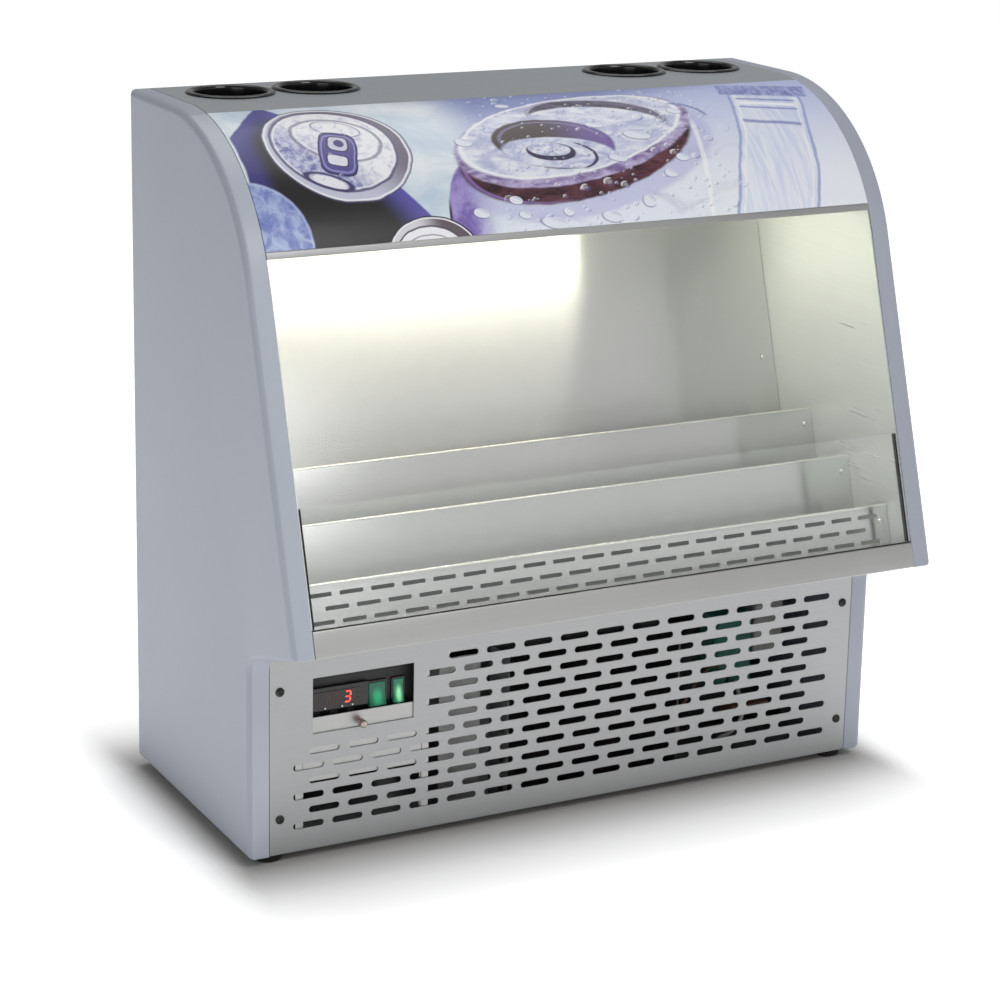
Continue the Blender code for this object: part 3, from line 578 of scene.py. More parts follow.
class Print(Look):
    """A cold-drinks picture in nodes. Its coordinates run in metres across the canopy and up its curve."""

    def __init__(self, name, width):
        super().__init__(name, (1, 1, 1), 0.34)
        self.set("Specular IOR Level", 0.3)
        self.set("Coat Weight", 0.08)
        self.set("Coat Roughness", 0.12)
        x, y, _ = self.axes("UV")
        wobble = self.noise(34, 2, source="UV", offset=(3, 1, 0))
        self.x = x * width + wobble.span(-0.0016, 0.0016)
        self.y = y * width + wobble.span(0.0016, -0.0016)
        self.colour = None

    def turned(self, x, y, a, b, tilt):
        """Coordinates from this middle, turned by tilt degrees, as shares of the half sizes a and b."""
        cos, sin = math.cos(math.radians(tilt)), math.sin(math.radians(tilt))
        dx, dy = self.x - x, self.y - y
        return dx * (cos / a) + dy * (sin / a), dy * (cos / b) - dx * (sin / b)

    def ellipse(self, x, y, a, b, tilt=0.0):
        """The distance from an ellipse's middle, as a share of its size: 1 is on its outline."""
        p, q = self.turned(x, y, a, b, tilt)
        return (p * p + q * q).math("SQRT")

    def pillow(self, x, y, a, b, tilt=0.0):
        """As ellipse, for a rectangle with well rounded corners."""
        p, q = self.turned(x, y, a, b, tilt)
        return (p.math("POWER", 4.0) + q.math("POWER", 4.0)).math("POWER", 0.25)

    def paint(self, mask, colour):
        self.colour = self.mix(mask, self.colour, colour)

    def line(self, distance, at, width):
        """A soft line where the distance is near this value."""
        return (distance - at).math("ABSOLUTE").step(width, width * 0.25)

    def streaks(self, scale, offset, dark, light, low=0.32, high=0.68):
        """Wet metal or ice: one colour clouded and streaked over the other."""
        noise = self.noise((*scale, 1), 4, 0.65, "UV", (*offset, 0), 0.5)
        return self.mix(noise.step(low, high), dark, light)

    def bead(self, x, y, a, b):
        """One large drop: a shadow round it, a bright body and a darker crescent."""
        share = self.ellipse(x, y, a, b, -12)
        side = (self.x - x) * (0.7 / a) + (self.y - y) * (0.7 / b)
        self.paint(share.step(1.25, 0.95) * side.step(0.4, -0.9) * 0.8, ink(78, 82, 140))
        self.paint(share.step(1.0, 0.88), ink(236, 240, 250))
        self.paint(share.step(0.95, 0.72) * side.step(0.1, 0.8) * 0.5, ink(150, 160, 206))

    def drops(self, scale, offset, smallest, largest, area):
        """Water drops with a bright edge towards the light and a dark one away from it."""
        node = self.tree.nodes.new("ShaderNodeTexVoronoi")
        node.inputs["Scale"].default_value = 1
        vector = self.places((scale, scale * 1.35, scale), "UV", offset)
        self.tree.links.new(vector, node.inputs["Vector"])
        difference = self.tree.nodes.new("ShaderNodeVectorMath")
        difference.operation = "SUBTRACT"
        self.tree.links.new(vector, difference.inputs[0])
        self.tree.links.new(node.outputs["Position"], difference.inputs[1])
        apart = self.tree.nodes.new("ShaderNodeSeparateXYZ")
        self.tree.links.new(difference.outputs[0], apart.inputs[0])
        chance = self.tree.nodes.new("ShaderNodeSeparateColor")
        self.tree.links.new(node.outputs["Color"], chance.inputs[0])
        size = Value(self.tree, chance.outputs[0]).span(smallest, largest)
        share = Value(self.tree, node.outputs["Distance"]) / size
        inside = share.step(1.05, 0.92) * area
        side = (Value(self.tree, apart.outputs[0]) - Value(self.tree, apart.outputs[1])) / size
        self.paint(inside * share.step(0.45, 1.0) * side.step(0.1, 1.0) * 0.75, ink(92, 98, 152))
        self.paint(inside * share.step(0.35, 0.95) * side.step(0.0, -0.9) * 0.85, ink(248, 250, 255))
        self.paint(inside * share.step(0.75, 0.2) * 0.35, ink(240, 244, 252))


def ink(red, green, blue):
    """A printed colour by its display values, allowing for the light that falls on the sheet."""
    return tuple(INK_STRENGTH * channel for channel in srgb(red, green, blue))


def paint_ground(look):
    """Pale frost at the left, lavender metal in the middle and white haze at the right."""
    ice = look.streaks((8, 9), (1, 5), ink(200, 218, 234), ink(242, 248, 252))
    deep = look.mix(look.y.step(0.05, 0.17), ink(236, 241, 252), ink(146, 158, 208))
    haze = look.mix(look.y.step(0.02, 0.19), ink(240, 243, 250), ink(188, 198, 236))
    middle = look.streaks((14, 30), (6, 2), (0.66, 0.67, 0.74), (1, 1, 1), 0.2, 0.5)
    ground = look.mix(look.x.step(0.205, 0.275), ice, look.mix(look.x.step(0.40, 0.52), deep, haze))
    look.colour = look.mix(look.x.step(0.23, 0.30) * look.x.step(0.56, 0.48), ground, middle, "MULTIPLY")
    upper_middle = look.y.step(0.165, 0.19) * look.x.step(0.15, 0.24) * look.x.step(0.60, 0.50)
    look.paint(upper_middle * 0.6, ink(120, 128, 178))


def paint_can(look):
    """The first can: its dark body, its lid with the ring, and the ice beside it."""
    left = look.x - 0.001
    right = look.y.span(0.192, 0.192 - 0.72) - look.x
    top = look.x * 1.2 + 0.130 - look.y
    body = left.step(0.0, 0.003) * right.step(0.0, 0.003) * top.step(0.0, 0.004)
    wall = look.mix(right.step(0.004, 0.044), ink(98, 92, 172), ink(34, 32, 33))
    wall = look.mix(left.step(0.030, 0.010), wall, ink(62, 56, 126))
    wall = look.mix(top.step(0.045, 0.010), wall, ink(74, 74, 146))
    look.paint(body, wall)

    ball = look.ellipse(-0.006, 0.006, 0.056, 0.066)
    look.paint(
        ball.step(1.02, 0.97), look.streaks((50, 40), (2, 2), ink(112, 128, 196), ink(184, 198, 234)),
    )
    look.paint(look.line(ball, 0.97, 0.03) * 0.6, ink(196, 206, 238))

    lid = look.ellipse(0.1040, 0.1085, 0.0725, 0.0655, -20)
    inner = look.ellipse(0.1010, 0.1110, 0.0625, 0.0570, -20)
    slope = (look.x - 0.10) * 0.75 + (look.y - 0.11) * 0.65
    look.paint(
        lid.step(1.01, 0.98), look.mix(slope.step(-0.03, 0.04), ink(206, 208, 226), ink(120, 112, 132)),
    )
    look.paint(look.line(lid, 0.975, 0.025), ink(244, 244, 250))
    look.paint(look.line(lid, 1.01, 0.018) * 0.8, ink(84, 78, 118))
    metal = look.streaks((60, 60), (5, 1), ink(196, 198, 222), ink(250, 250, 254), 0.25, 0.55)
    shade = look.streaks((90, 70), (3, 7), ink(104, 108, 176), ink(214, 218, 238))
    look.paint(inner.step(1.01, 0.97), look.mix(slope.step(0.004, -0.034), metal, shade))
    look.paint(look.line(inner, 0.99, 0.035), ink(110, 102, 136))
    look.paint(look.line(inner, 0.94, 0.022) * 0.8, ink(250, 250, 255))
    for x, y, a, b, tilt in ((0.107, 0.121, 0.044, 0.031, -20), (0.112, 0.136, 0.024, 0.012, -24)):
        loop = look.ellipse(x, y, a, b, tilt)
        look.paint(look.line(loop, 1.0, 0.07) * 0.75, ink(126, 122, 150))
        look.paint(look.line(loop, 0.9, 0.06) * 0.6, ink(252, 252, 255))
    mouth = look.ellipse(0.081, 0.067, 0.023, 0.0075, -24)
    look.paint(look.line(mouth, 1.0, 0.22), ink(74, 66, 112))
    look.paint(mouth.step(0.9, 0.6), ink(244, 244, 250))
    tab = look.pillow(0.1020, 0.1010, 0.0185, 0.0285, -17)
    look.paint(tab.step(1.03, 0.98), ink(84, 76, 150))
    look.paint(look.line(tab, 0.86, 0.06), ink(150, 146, 204))
    look.paint(look.line(tab, 1.0, 0.05), ink(44, 38, 84))
    hole = look.pillow(0.1055, 0.1135, 0.0098, 0.0105, -17)
    look.paint(hole.step(1.04, 0.95), ink(214, 214, 234))
    look.paint(look.line(hole, 0.98, 0.12), ink(40, 32, 78))
    core = look.ellipse(0.1065, 0.1140, 0.0055, 0.0058, -17)
    look.paint(core.step(1.0, 0.8), ink(70, 60, 130))
    low_hole = look.pillow(0.0980, 0.0912, 0.0104, 0.0070, -17)
    look.paint(low_hole.step(1.04, 0.95), ink(232, 232, 244))
    look.paint(look.line(low_hole, 0.98, 0.10), ink(44, 36, 84))

    second = look.ellipse(0.1700, -0.0285, 0.0520, 0.0505)
    rim = look.ellipse(0.1670, -0.0300, 0.0440, 0.0430)
    look.paint(
        second.step(1.01, 0.98),
        look.mix(look.x.step(0.155, 0.185), ink(222, 220, 228), ink(96, 84, 92)),
    )
    look.paint(look.line(second, 0.975, 0.022), ink(246, 246, 250))
    look.paint(look.line(second, 1.01, 0.02), ink(48, 40, 56))
    look.paint(rim.step(1.01, 0.95), ink(248, 248, 252))
    look.paint(look.line(rim, 0.99, 0.03), ink(80, 70, 86))
    look.paint(look.line(rim, 0.80, 0.025) * 0.7, ink(120, 112, 130))
    return inner


def paint_ring_pull(look):
    """The close-up: the can's lit shoulder, the ring's dark edge, its wet top and the finger hole."""
    shoulder = look.ellipse(0.222, 0.022, 0.028, 0.056, -8)
    lilac = look.streaks((40, 26), (9, 4), ink(120, 98, 178), ink(178, 160, 220))
    look.paint(shoulder.step(1.0, 0.92) * look.x.step(0.250, 0.214), lilac)
    left_end = look.x.step(0.210, 0.200) * look.y.step(0.045, 0.025)
    look.paint(look.line(shoulder, 0.97, 0.07) * left_end, ink(56, 42, 60))
    shine = look.ellipse(0.365, 0.076, 0.150, 0.062, 12)
    look.paint(shine.step(1.06, 0.95) * 0.45, ink(166, 168, 220))
    under = look.ellipse(0.3560, 0.0900, 0.1400, 0.0600, 12)
    rust = look.streaks((20, 46), (8, 3), ink(48, 28, 34), ink(112, 66, 78))
    look.paint(under.step(1.02, 0.97), rust)
    look.paint(look.line(under, 0.965, 0.02) * look.x.step(0.36, 0.26) * 0.8, ink(150, 118, 190))
    pad = look.ellipse(0.3600, 0.1070, 0.1440, 0.0580, 12)
    edge = look.streaks((24, 60), (4, 8), ink(120, 96, 150), ink(206, 196, 230))
    look.paint(pad.step(1.02, 0.98), edge)
    top = look.ellipse(0.3590, 0.1120, 0.1380, 0.0535, 12)
    look.paint(top.step(1.02, 0.97), look.streaks((22, 50), (2, 6), ink(186, 192, 224), ink(242, 244, 252)))
    look.paint(look.line(top, 0.965, 0.03) * 0.85, ink(252, 252, 255))

    arch = look.ellipse(0.3960, 0.1300, 0.0760, 0.0330, -8)
    below = look.ellipse(0.3930, 0.1230, 0.0720, 0.0250, -8)
    upper = (look.y + look.x * 0.14 - 0.183).step(-0.004, 0.002)
    dusk = look.streaks((30, 70), (1, 3), ink(70, 62, 78), ink(116, 108, 136))
    look.paint(arch.step(1.03, 0.96) * below.step(0.97, 1.05) * upper, dusk)
    look.paint(look.line(arch, 0.97, 0.035) * upper * 0.6, ink(214, 212, 238))

    hole = look.ellipse(0.3320, 0.0960, 0.0665, 0.0345, -6)
    floor = look.ellipse(0.3320, 0.0830, 0.0625, 0.0205, -6)
    look.paint(
        hole.step(1.02, 0.96), look.mix(look.x.step(0.32, 0.39), ink(78, 70, 70), ink(126, 108, 170)),
    )
    look.paint(look.line(hole, 0.86, 0.05) * look.y.step(0.092, 0.105) * 0.6, ink(150, 142, 178))
    look.paint(
        floor.step(1.03, 0.93), look.streaks((30, 70), (7, 7), ink(182, 188, 222), ink(240, 242, 252)),
    )
    rivet = look.ellipse(0.3240, 0.0845, 0.0270, 0.0120, -6)
    lower = look.ellipse(0.3230, 0.0875, 0.0235, 0.0090, -6)
    look.paint(rivet.step(1.04, 0.95), ink(70, 62, 92))
    look.paint(
        lower.step(1.03, 0.92), look.streaks((60, 90), (4, 4), ink(170, 176, 212), ink(246, 248, 255)),
    )
    curl = look.ellipse(0.3280, 0.0800, 0.0430, 0.0190, -6)
    look.paint(look.line(curl, 1.0, 0.07) * look.x.step(0.350, 0.358), ink(72, 64, 100))
    shadow = look.ellipse(0.4880, 0.1180, 0.0330, 0.0270, -20)
    right_end = look.y.step(0.118, 0.126) * look.x.step(0.478, 0.492)
    look.paint(look.line(shadow, 1.0, 0.11) * right_end, ink(138, 150, 196))


def paint_bottle(look):
    """The bottle's neck at the right: clear glass with a ringed cap, leaning with the picture."""
    centre = look.x - look.y.span(0.5580, 0.5580 + 0.31)
    half = look.y.step(0.10, 0.03).span(0.0425, 0.0485)
    aside = centre.math("ABSOLUTE")
    reach = aside - half
    level = look.y + look.x * 0.155
    neck = reach.step(0.001, -0.002) * level.step(0.245, 0.240)
    look.paint(neck * 0.7, look.streaks((90, 8), (4, 0), ink(206, 216, 244), ink(244, 247, 253)))
    look.paint(look.line(reach, -0.001, 0.0030) * level.step(0.252, 0.244) * 0.75, ink(142, 156, 208))
    look.paint(look.line(reach, -0.008, 0.0022) * neck * 0.6, ink(252, 253, 255))
    cap = (aside - 0.0510).step(0.002, -0.001) * (level - 0.2555).math("ABSOLUTE").step(0.0125, 0.0110)
    look.paint(cap, look.streaks((120, 60), (6, 0), ink(120, 128, 190), ink(176, 184, 226)))
    for height, width in ((0.2350, 0.0026), (0.2200, 0.0024), (0.1960, 0.0036)):
        band = look.line(level, height, width) * (aside - 0.034).step(0.002, -0.002)
        look.paint(band * 0.85, ink(134, 144, 196))
    shine = look.line(level, 0.2275, 0.0035) * (aside - 0.032).step(0.002, -0.002)
    look.paint(shine, ink(250, 252, 255))
    glare = look.x - look.y.span(0.4800, 0.4800 + 0.16)
    look.paint(look.line(glare, 0.0, 0.0040) * look.y.step(0.125, 0.100) * 0.7, ink(255, 255, 255))


def drinks_print(width):
    """Two can lids, a ring pull in close-up, a bottle and water drops, on a frosted ground."""
    look = Print("cold_drinks_print", width)
    paint_ground(look)
    paint_ring_pull(look)
    inner = paint_can(look)
    paint_bottle(look)
    wet = look.x.step(0.225, 0.290) * look.x.step(0.56, 0.48)
    look.drops(30, (0, 0, 0), 0.10, 0.34, wet)
    look.drops(62, (7, 3, 0), 0.10, 0.34, wet.math("MAXIMUM", inner.step(1.0, 0.9) * 0.6))
    for x, y, a, b in BEADS:
        look.bead(x, y, a, b)
    look.drive("Base Color", look.colour)
    look.bump(look.noise(500, 2), 0.04, 0.0003)
    return look.material


# -------------------------------------------------------------------- looks

LOOKS = {
    "panel": painted("painted_panel", srgb(151, 156, 168)),
    # A lighter copy of the panel paint, used only on the left panel's front edge: painted light.
    "panel_front_painted_light": painted("left_front_edge_painted_light", srgb(165, 171, 182)),
    "panel_back": painted("painted_rear", srgb(150, 153, 160), 0.5, 0.0, 0.14),
    "print": drinks_print(2 * FIT_X),
    "top": painted("painted_top", srgb(136, 141, 145), 0.36),
    "grille": brushed("brushed_front", (0.38, 0.385, 0.39), 0.40, aniso=0.6, depth=0.06),
    "light_steel": brushed("light_satin_steel", (0.44, 0.44, 0.435), 0.42, aniso=0.5, depth=0.05),
    "lip": brushed("lip_steel", (0.34, 0.34, 0.34), 0.40, aniso=0.5, metallic=0.75),
    "liner": brushed(
        "polished_liner", (0.70, 0.71, 0.69), 0.25, aniso=1.0, mottle=0.010, swing=0.008, streak=0.25,
    ),
    # The side liners: the liner steel tinted green, lighter and less metallic, a painted greenish reflection and
    # painted light.
    "side_liner_painted_light": brushed(
        "polished_side_liner", (0.74, 0.77, 0.74), 0.30, grain="Y", aniso=0.7, metallic=0.58,
    ),
    "plates": brushed(
        "brushed_plates", (0.69, 0.70, 0.69), 0.24, aniso=1.0, mottle=0.012, swing=0.008, streak=0.3,
    ),
    # The level faces of the folded plates, the display floor and the air plate's tread: the plates' steel made
    # lighter and less metallic, painted light on the upward faces.
    "tread": brushed("tread_steel_painted_light", (0.80, 0.81, 0.79), 0.40, aniso=0.0, metallic=0.45),
    "bright": brushed("bright_edge", (0.94, 0.94, 0.88), 0.20, aniso=0.0),
    "zinc": cast_metal("galvanised_sheet", (0.42, 0.43, 0.44), 0.42, 0.85, 40),
    "white": moulded("white_plastic", srgb(236, 236, 228), 0.45),
    "black": moulded("black_plastic", srgb(20, 21, 22), 0.30),
    "gloss_black": moulded("gloss_black_plastic", srgb(16, 17, 18), 0.14, 0.03),
    "lens": moulded("display_lens", srgb(30, 14, 16), 0.08, 0.01),
    "soft_black": moulded("textured_black_plastic", srgb(26, 27, 29), 0.55, 0.25, 1400),
    "rubber": moulded("foot_rubber", srgb(18, 18, 19), 0.75, 0.3, 900),
    "dark": cast_metal("machine_enamel", (0.022, 0.023, 0.025), 0.42, 0.1),
    "fins": cast_metal("coil_fins", (0.10, 0.10, 0.105), 0.45, 0.8, 120),
    "alloy": cast_metal("fan_alloy", (0.55, 0.55, 0.56), 0.35, 0.9),
    "teal": moulded("relay_teal", srgb(28, 110, 98), 0.38),
    "grey_plastic": moulded("grey_plastic", srgb(176, 176, 172), 0.42),
    "brown": moulded("brown_phenolic", srgb(92, 60, 44), 0.45),
    "copper": cast_metal("copper_tube", (0.62, 0.30, 0.18), 0.28, 1.0, 90),
    "chrome": cast_metal("chrome_trim", (0.78, 0.77, 0.75), 0.12, 1.0, 60),
    "bronze": cast_metal("knob_bronze", (0.42, 0.33, 0.28), 0.25, 1.0, 90),
    "pane": clear("clear_pane", (0.86, 0.90, 0.88), 0.06),
    "pane_edge": clear("pane_edge", (0.88, 0.92, 0.89), 0.55, 0.12),
    "lamp": glowing("lamp_tube", (1.0, 0.97, 0.84), 21.0, (0.96, 0.92, 0.78)),
    "digit": glowing("display_digit", (1.0, 0.05, 0.03), 4.0, (0.8, 0.02, 0.02)),
    "dim_digit": glowing("display_dim", (0.10, 0.01, 0.01), 0.06, (0.05, 0.005, 0.005)),
    "led_white": glowing("led_white", (0.7, 0.72, 0.7), 0.5, (0.5, 0.5, 0.5)),
    "green": lit_rocker("rocker_green", (0.004, 0.085, 0.045), (0.02, 0.33, 0.15), -0.2150, 0.0176, 0.45),
    "green_light": lit_rocker(
        "rocker_light", (0.006, 0.12, 0.06), (0.25, 0.70, 0.36), -0.1923, 0.0105, 0.60,
    ),
}


# ------------------------------------------------------------ camera, stage


def studio():
    """The camera, a pale floor with a painted shadow round the cabinet, a white background, and soft light from
    the left, the right and above.
    """
    scene = bpy.context.scene
    scene.view_settings.view_transform = "Standard"

    azimuth, elevation, roll = (math.radians(angle) for angle in (-27.7687, 14.5158, 1.1101))
    reach = math.cos(elevation)
    back = Vector((math.sin(azimuth) * reach, -math.cos(azimuth) * reach, math.sin(elevation)))
    level = Vector((0, 0, 1)).cross(back).normalized()
    upright = back.cross(level)
    right = level * math.cos(roll) + upright * math.sin(roll)
    up = upright * math.cos(roll) - level * math.sin(roll)
    eye = Vector((-0.1106, -0.097, 0.4421)) + back * 2.6736
    data = bpy.data.cameras.new("camera")
    data.lens = 100.32
    data.sensor_width = 36
    data.shift_x, data.shift_y = 0.017, -0.10
    data.clip_start, data.clip_end = 0.05, 60
    camera = bpy.data.objects.new("camera", data)
    camera.matrix_world = Matrix((
        (right.x, up.x, back.x, eye.x),
        (right.y, up.y, back.y, eye.y),
        (right.z, up.z, back.z, eye.z),
        (0, 0, 0, 1),
    ))
    scene.collection.objects.link(camera)
    scene.camera = camera

    world = bpy.data.worlds.new("studio")
    world.use_nodes = True
    tree = world.node_tree
    directions = tree.nodes.new("ShaderNodeTexCoord")
    apart = tree.nodes.new("ShaderNodeSeparateXYZ")
    tree.links.new(directions.outputs["Generated"], apart.inputs[0])
    strength = Value(tree, apart.outputs[0]).step(-1, 1, False).span(0.22, 0.42)
    rays = tree.nodes.new("ShaderNodeLightPath")
    seen = Value(tree, rays.outputs["Is Camera Ray"])
    tree.links.new(strength.math("MAXIMUM", seen).socket, tree.nodes["Background"].inputs["Strength"])
    tree.nodes["Background"].inputs["Color"].default_value = (1, 1, 1, 1)
    scene.world = world

    bm = bmesh.new()
    bmesh.ops.create_grid(bm, x_segments=24, y_segments=24, size=9)
    mesh = bpy.data.meshes.new("floor")
    bm.to_mesh(mesh)
    bm.free()
    look = Look("floor_paper", (0.88, 0.88, 0.88), 0.75)
    look.set("Specular IOR Level", 0.1)
    look.set("Emission Color", (1, 1, 1, 1))
    x, y, _ = look.axes()
    # Distance from the cabinet's footprint, for the floor's painted shadow.
    beside = (x.math("ABSOLUTE") - WIDTH / 2).math("MAXIMUM", 0.0)
    before = ((y - 0.053).math("ABSOLUTE") - 0.15).math("MAXIMUM", 0.0)
    distance = (beside * beside * 7 + before * before).math("SQRT")
    # The floor glows less near the cabinet: a painted shadow.
    look.drive("Emission Strength", distance.step(0.0, 0.19, False).span(0.0, 0.72))
    fibres = look.mix(look.noise(3, 4), (0.86, 0.86, 0.86), (0.90, 0.90, 0.90))
    # The floor paper darkens close to the footprint: a painted contact shadow.
    look.drive("Base Color", look.mix(distance.step(0.10, 0.0), fibres, (0.50, 0.49, 0.48)))
    mesh.materials.append(look.material)
    floor = bpy.data.objects.new("floor", mesh)
    scene.collection.objects.link(floor)

    lamp("overhead", (0.2, 0.9, 3.0), (0, 0, 0.30), (2.6, 1.8), 29)
    lamp("front", (0.5, -2.6, 3.0), (0, 0, 0.35), (1.6, 1.0), 36)
    lamp("left", (-2.4, -2.0, 1.3), (0, 0, 0.35), (2.0, 1.6), 14)
    lamp("right", (1.7, -2.7, 1.5), (0, 0, 0.35), (3.0, 1.8), 4.5)


def lamp(name, position, target, size, power):
    """A soft box light at the position, facing the target."""
    data = bpy.data.lights.new(name, "AREA")
    data.shape = "RECTANGLE"
    data.size, data.size_y = size
    data.energy = power
    light = bpy.data.objects.new(name, data)
    light.location = position
    light.rotation_mode = "QUATERNION"
    light.rotation_quaternion = (Vector(target) - Vector(position)).to_track_quat("-Z", "Y")
    bpy.context.scene.collection.objects.link(light)


# ------------------------------------------------------------------ cabinet

CUP_XS = (-0.270, -0.178, 0.178, 0.270)
CUP_Y = 0.146
CANOPY_BACK_Y = 0.053
CANOPY_THICK = 0.003
LIP_Z = 0.595
LIP_FACE = 0.0065


def side_panels():
    """Painted side panels with a soft outer edge. The left one's front edge takes a lighter copy of the paint: a
    painted highlight for the light it catches.
    """
    corner = leaning(0, (BASE_Y - FRONT_Y) / math.cos(LEAN))
    points = [(BASE_Y, FOOT_HEIGHT), corner, (FRONT_Y, NOSE_Z)]
    outline = rounded(points, 0.018, 10, keep=(0, 2))
    outline += crown(0, CROWN_TURN, 0, 48)
    outline += [(BACK_Y, TOP_Z), (BACK_Y, FOOT_HEIGHT)]
    for name, side in (("left", -1), ("right", 1)):
        bm = bmesh.new()
        outer = add_prism(bm, outline, side * INNER_X, side * WIDTH / 2)[1]
        bmesh.ops.recalc_face_normals(bm, faces=bm.faces)
        bmesh.ops.bevel(bm, geom=list(outer.edges), offset=0.0075, segments=8, profile=0.5, affect="EDGES")
        obj = piece(
            f"side_{name}", bm, "panel", slot="painted_panel", smooth=32,
            replaces=(f"side_panel_{name}", f"foam_{name}"), extra=("panel_front_painted_light",),
        )
        # The left panel's faces that turn to the front take the lighter copy of the paint: painted light on that
        # edge.
        for polygon in obj.data.polygons:
            faces_front = polygon.normal.y < -0.2 and abs(polygon.normal.x) < 0.35
            polygon.material_index = int(side < 0 and faces_front)
        bevel(obj, 0.0009, 3, 50)


def top_sheet():
    """The flat top, curved down to meet the canopy, with its four holes."""
    start = math.asin((CROWN_Y - CANOPY_BACK_Y) / CROWN_RADIUS)
    thick = THICK_SHEET
    flat_y = CROWN_Y + 0.002
    bm = bmesh.new()
    upper = crown(0, start, 0, 12) + [(flat_y, TOP_Z)]
    lower = [(flat_y, TOP_Z - thick)] + crown(thick, 0, start, 12)
    add_prism(bm, upper + lower, -FIT_X, FIT_X)
    piece("top_front", bm, "top", slot="painted_top", replaces=("top_panel",), smooth=30)
    depth = BACK_Y - GAP - flat_y
    outline = rectangle(0, flat_y + depth / 2, 2 * FIT_X, depth)
    holes = [circle(x, CUP_Y, 0.0392, 64) for x in CUP_XS]
    up = Matrix.Translation((0, 0, TOP_Z - thick))
    plate("top_flat", outline, holes, thick, "top", up, 0.0002, slot="painted_top")


def cups():
    """Deep black cups with a soft rolled rim, a step below it and a dished floor."""
    rim, outer = 0.0445, 0.0387
    for number, x in enumerate(CUP_XS, 1):
        profile = [
            (0, -0.088), (0.030, -0.088), (outer - 0.003, -0.0855), (outer - 0.001, -0.080),
            (outer, -0.002),
        ]
        profile += [(outer, 0.0003), (rim - 0.0009, 0.0003), (rim, 0.0008)]
        profile += [
            (rim - 0.0006, 0.0016), (rim - 0.0020, 0.0023), (rim - 0.0036, 0.0025),
            (outer - 0.0008, 0.0023),
        ]
        profile += [(outer - 0.0022, 0.0012), (outer - 0.0026, -0.0010), (outer - 0.0028, -0.0120)]
        profile += [(outer - 0.0040, -0.0128), (outer - 0.0044, -0.0140), (0.0325, -0.078)]
        profile += [(0.0310, -0.0830), (0.0270, -0.0850), (0.0120, -0.0845), (0, -0.0842)]
        turned(
            f"cup_{number}", profile, "gloss_black", Matrix.Translation((x, CUP_Y, TOP_Z)), 72,
            slot="black_plastic", replaces=(f"cup_holder_{number}",), smooth=50,
        )


def canopy_sheet():
    """The printed curved sheet, with coordinates for its picture."""
    start = math.asin((CROWN_Y - CANOPY_BACK_Y) / CROWN_RADIUS) + GAP / CROWN_RADIUS
    low = LIP_Z + LIP_FACE + GAP
    first = crown_angle(low)
    steps, columns = 40, 12
    bm = bmesh.new()
    picture = bm.loops.layers.uv.new("picture")
    outer, inner = [], []
    for inset, grid in ((0.0, outer), (CANOPY_THICK, inner)):
        bottom = crown_angle(low, inset)
        for y, z in crown(inset, bottom, start, steps):
            xs = [-FIT_X + 2 * FIT_X * i / columns for i in range(columns + 1)]
            grid.append([bm.verts.new((x, y, z)) for x in xs])
    add_slab(bm, outer, inner)
    for face in bm.faces:
        for loop in face.loops:
            co = loop.vert.co
            angle = math.atan2(CROWN_Y - co.y, co.z - CROWN_Z)
            rise = (first - angle) * CROWN_RADIUS
            loop[picture].uv = ((co.x + FIT_X) / (2 * FIT_X), rise / (2 * FIT_X))
    piece("canopy_sheet", bm, "print", slot="printed_panel", replaces=("canopy_panel",), smooth=30)


def canopy_edges():
    """The steel lip under the print, turned back below it."""
    low, high = crown_y(LIP_Z), crown_y(LIP_Z + LIP_FACE)
    lip = [
        (low, LIP_Z),
        (low + 0.030, LIP_Z),
        (low + 0.030, LIP_Z + SHEET),
        (high + CANOPY_THICK, LIP_Z + SHEET),
        (high + CANOPY_THICK, LIP_Z + LIP_FACE),
        (high, LIP_Z + LIP_FACE),
    ]
    prism(
        "canopy_edge", rounded(lip, 0.0008, 4), -FIT_X, FIT_X, "lip",
        slot="stainless", replaces=("canopy_lip",), smooth=40,
    )


def ceiling():
    """The ceiling sheet, and the lamp with its end caps and holders."""
    low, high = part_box("ceiling_panel")
    box("ceiling_sheet", low, high, "white", 0.0004, slot="white_plastic", replaces=("ceiling_panel",))
    low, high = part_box("lamp_tube")
    radius = (high.z - low.z) / 2
    middle = (low + high) / 2
    length = high.x - low.x
    cap = 0.014
    axis = along((1, 0, 0), (low.x, middle.y, middle.z))
    tube_profile = [(0, cap), (radius * 0.9, cap), (radius * 0.96, cap + 0.002)]
    tube_profile += [(radius * 0.96, length - cap - 0.002), (radius * 0.9, length - cap), (0, length - cap)]
    turned("lamp_glass", tube_profile, "lamp", axis, 32, slot="white_plastic", replaces=("lamp_tube",))
    for name, shift, side in (("left", 0, 1), ("right", length, -1)):
        end = along((side, 0, 0), (low.x + shift, middle.y, middle.z))
        profile = [
            (0, 0.0002), (radius * 0.9, 0.0002), (radius, 0.001), (radius, cap - 0.001),
            (radius * 0.92, cap), (0, cap),
        ]
        turned(f"lamp_cap_{name}", profile, "chrome", end, 32, slot="chrome")
        low_end, high_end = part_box(f"lamp_holder_{name}")
        box(
            f"lamp_socket_{name}", low_end, high_end, "white", 0.0012,
            slot="white_plastic", replaces=(f"lamp_holder_{name}",),
        )


# ------------------------------------------------------------ display space


def folded(top_up, tread_up, back, next_back, lip=0.0045):
    """The outline of a folded plate: a level tread, a front plate and a hem turned back at its top."""
    hem = THICK_SHEET
    points = [
        leaning(tread_up, next_back - GAP),
        leaning(tread_up, back + SHEET),
        leaning(top_up - lip, back + SHEET),
        leaning(top_up - lip, back + SHEET + hem),
        leaning(top_up, back + SHEET + hem),
        leaning(top_up, back),
        leaning(tread_up - SHEET, back),
        leaning(tread_up - SHEET, next_back - GAP),
    ]
    return rounded(points, 0.0009, 4)


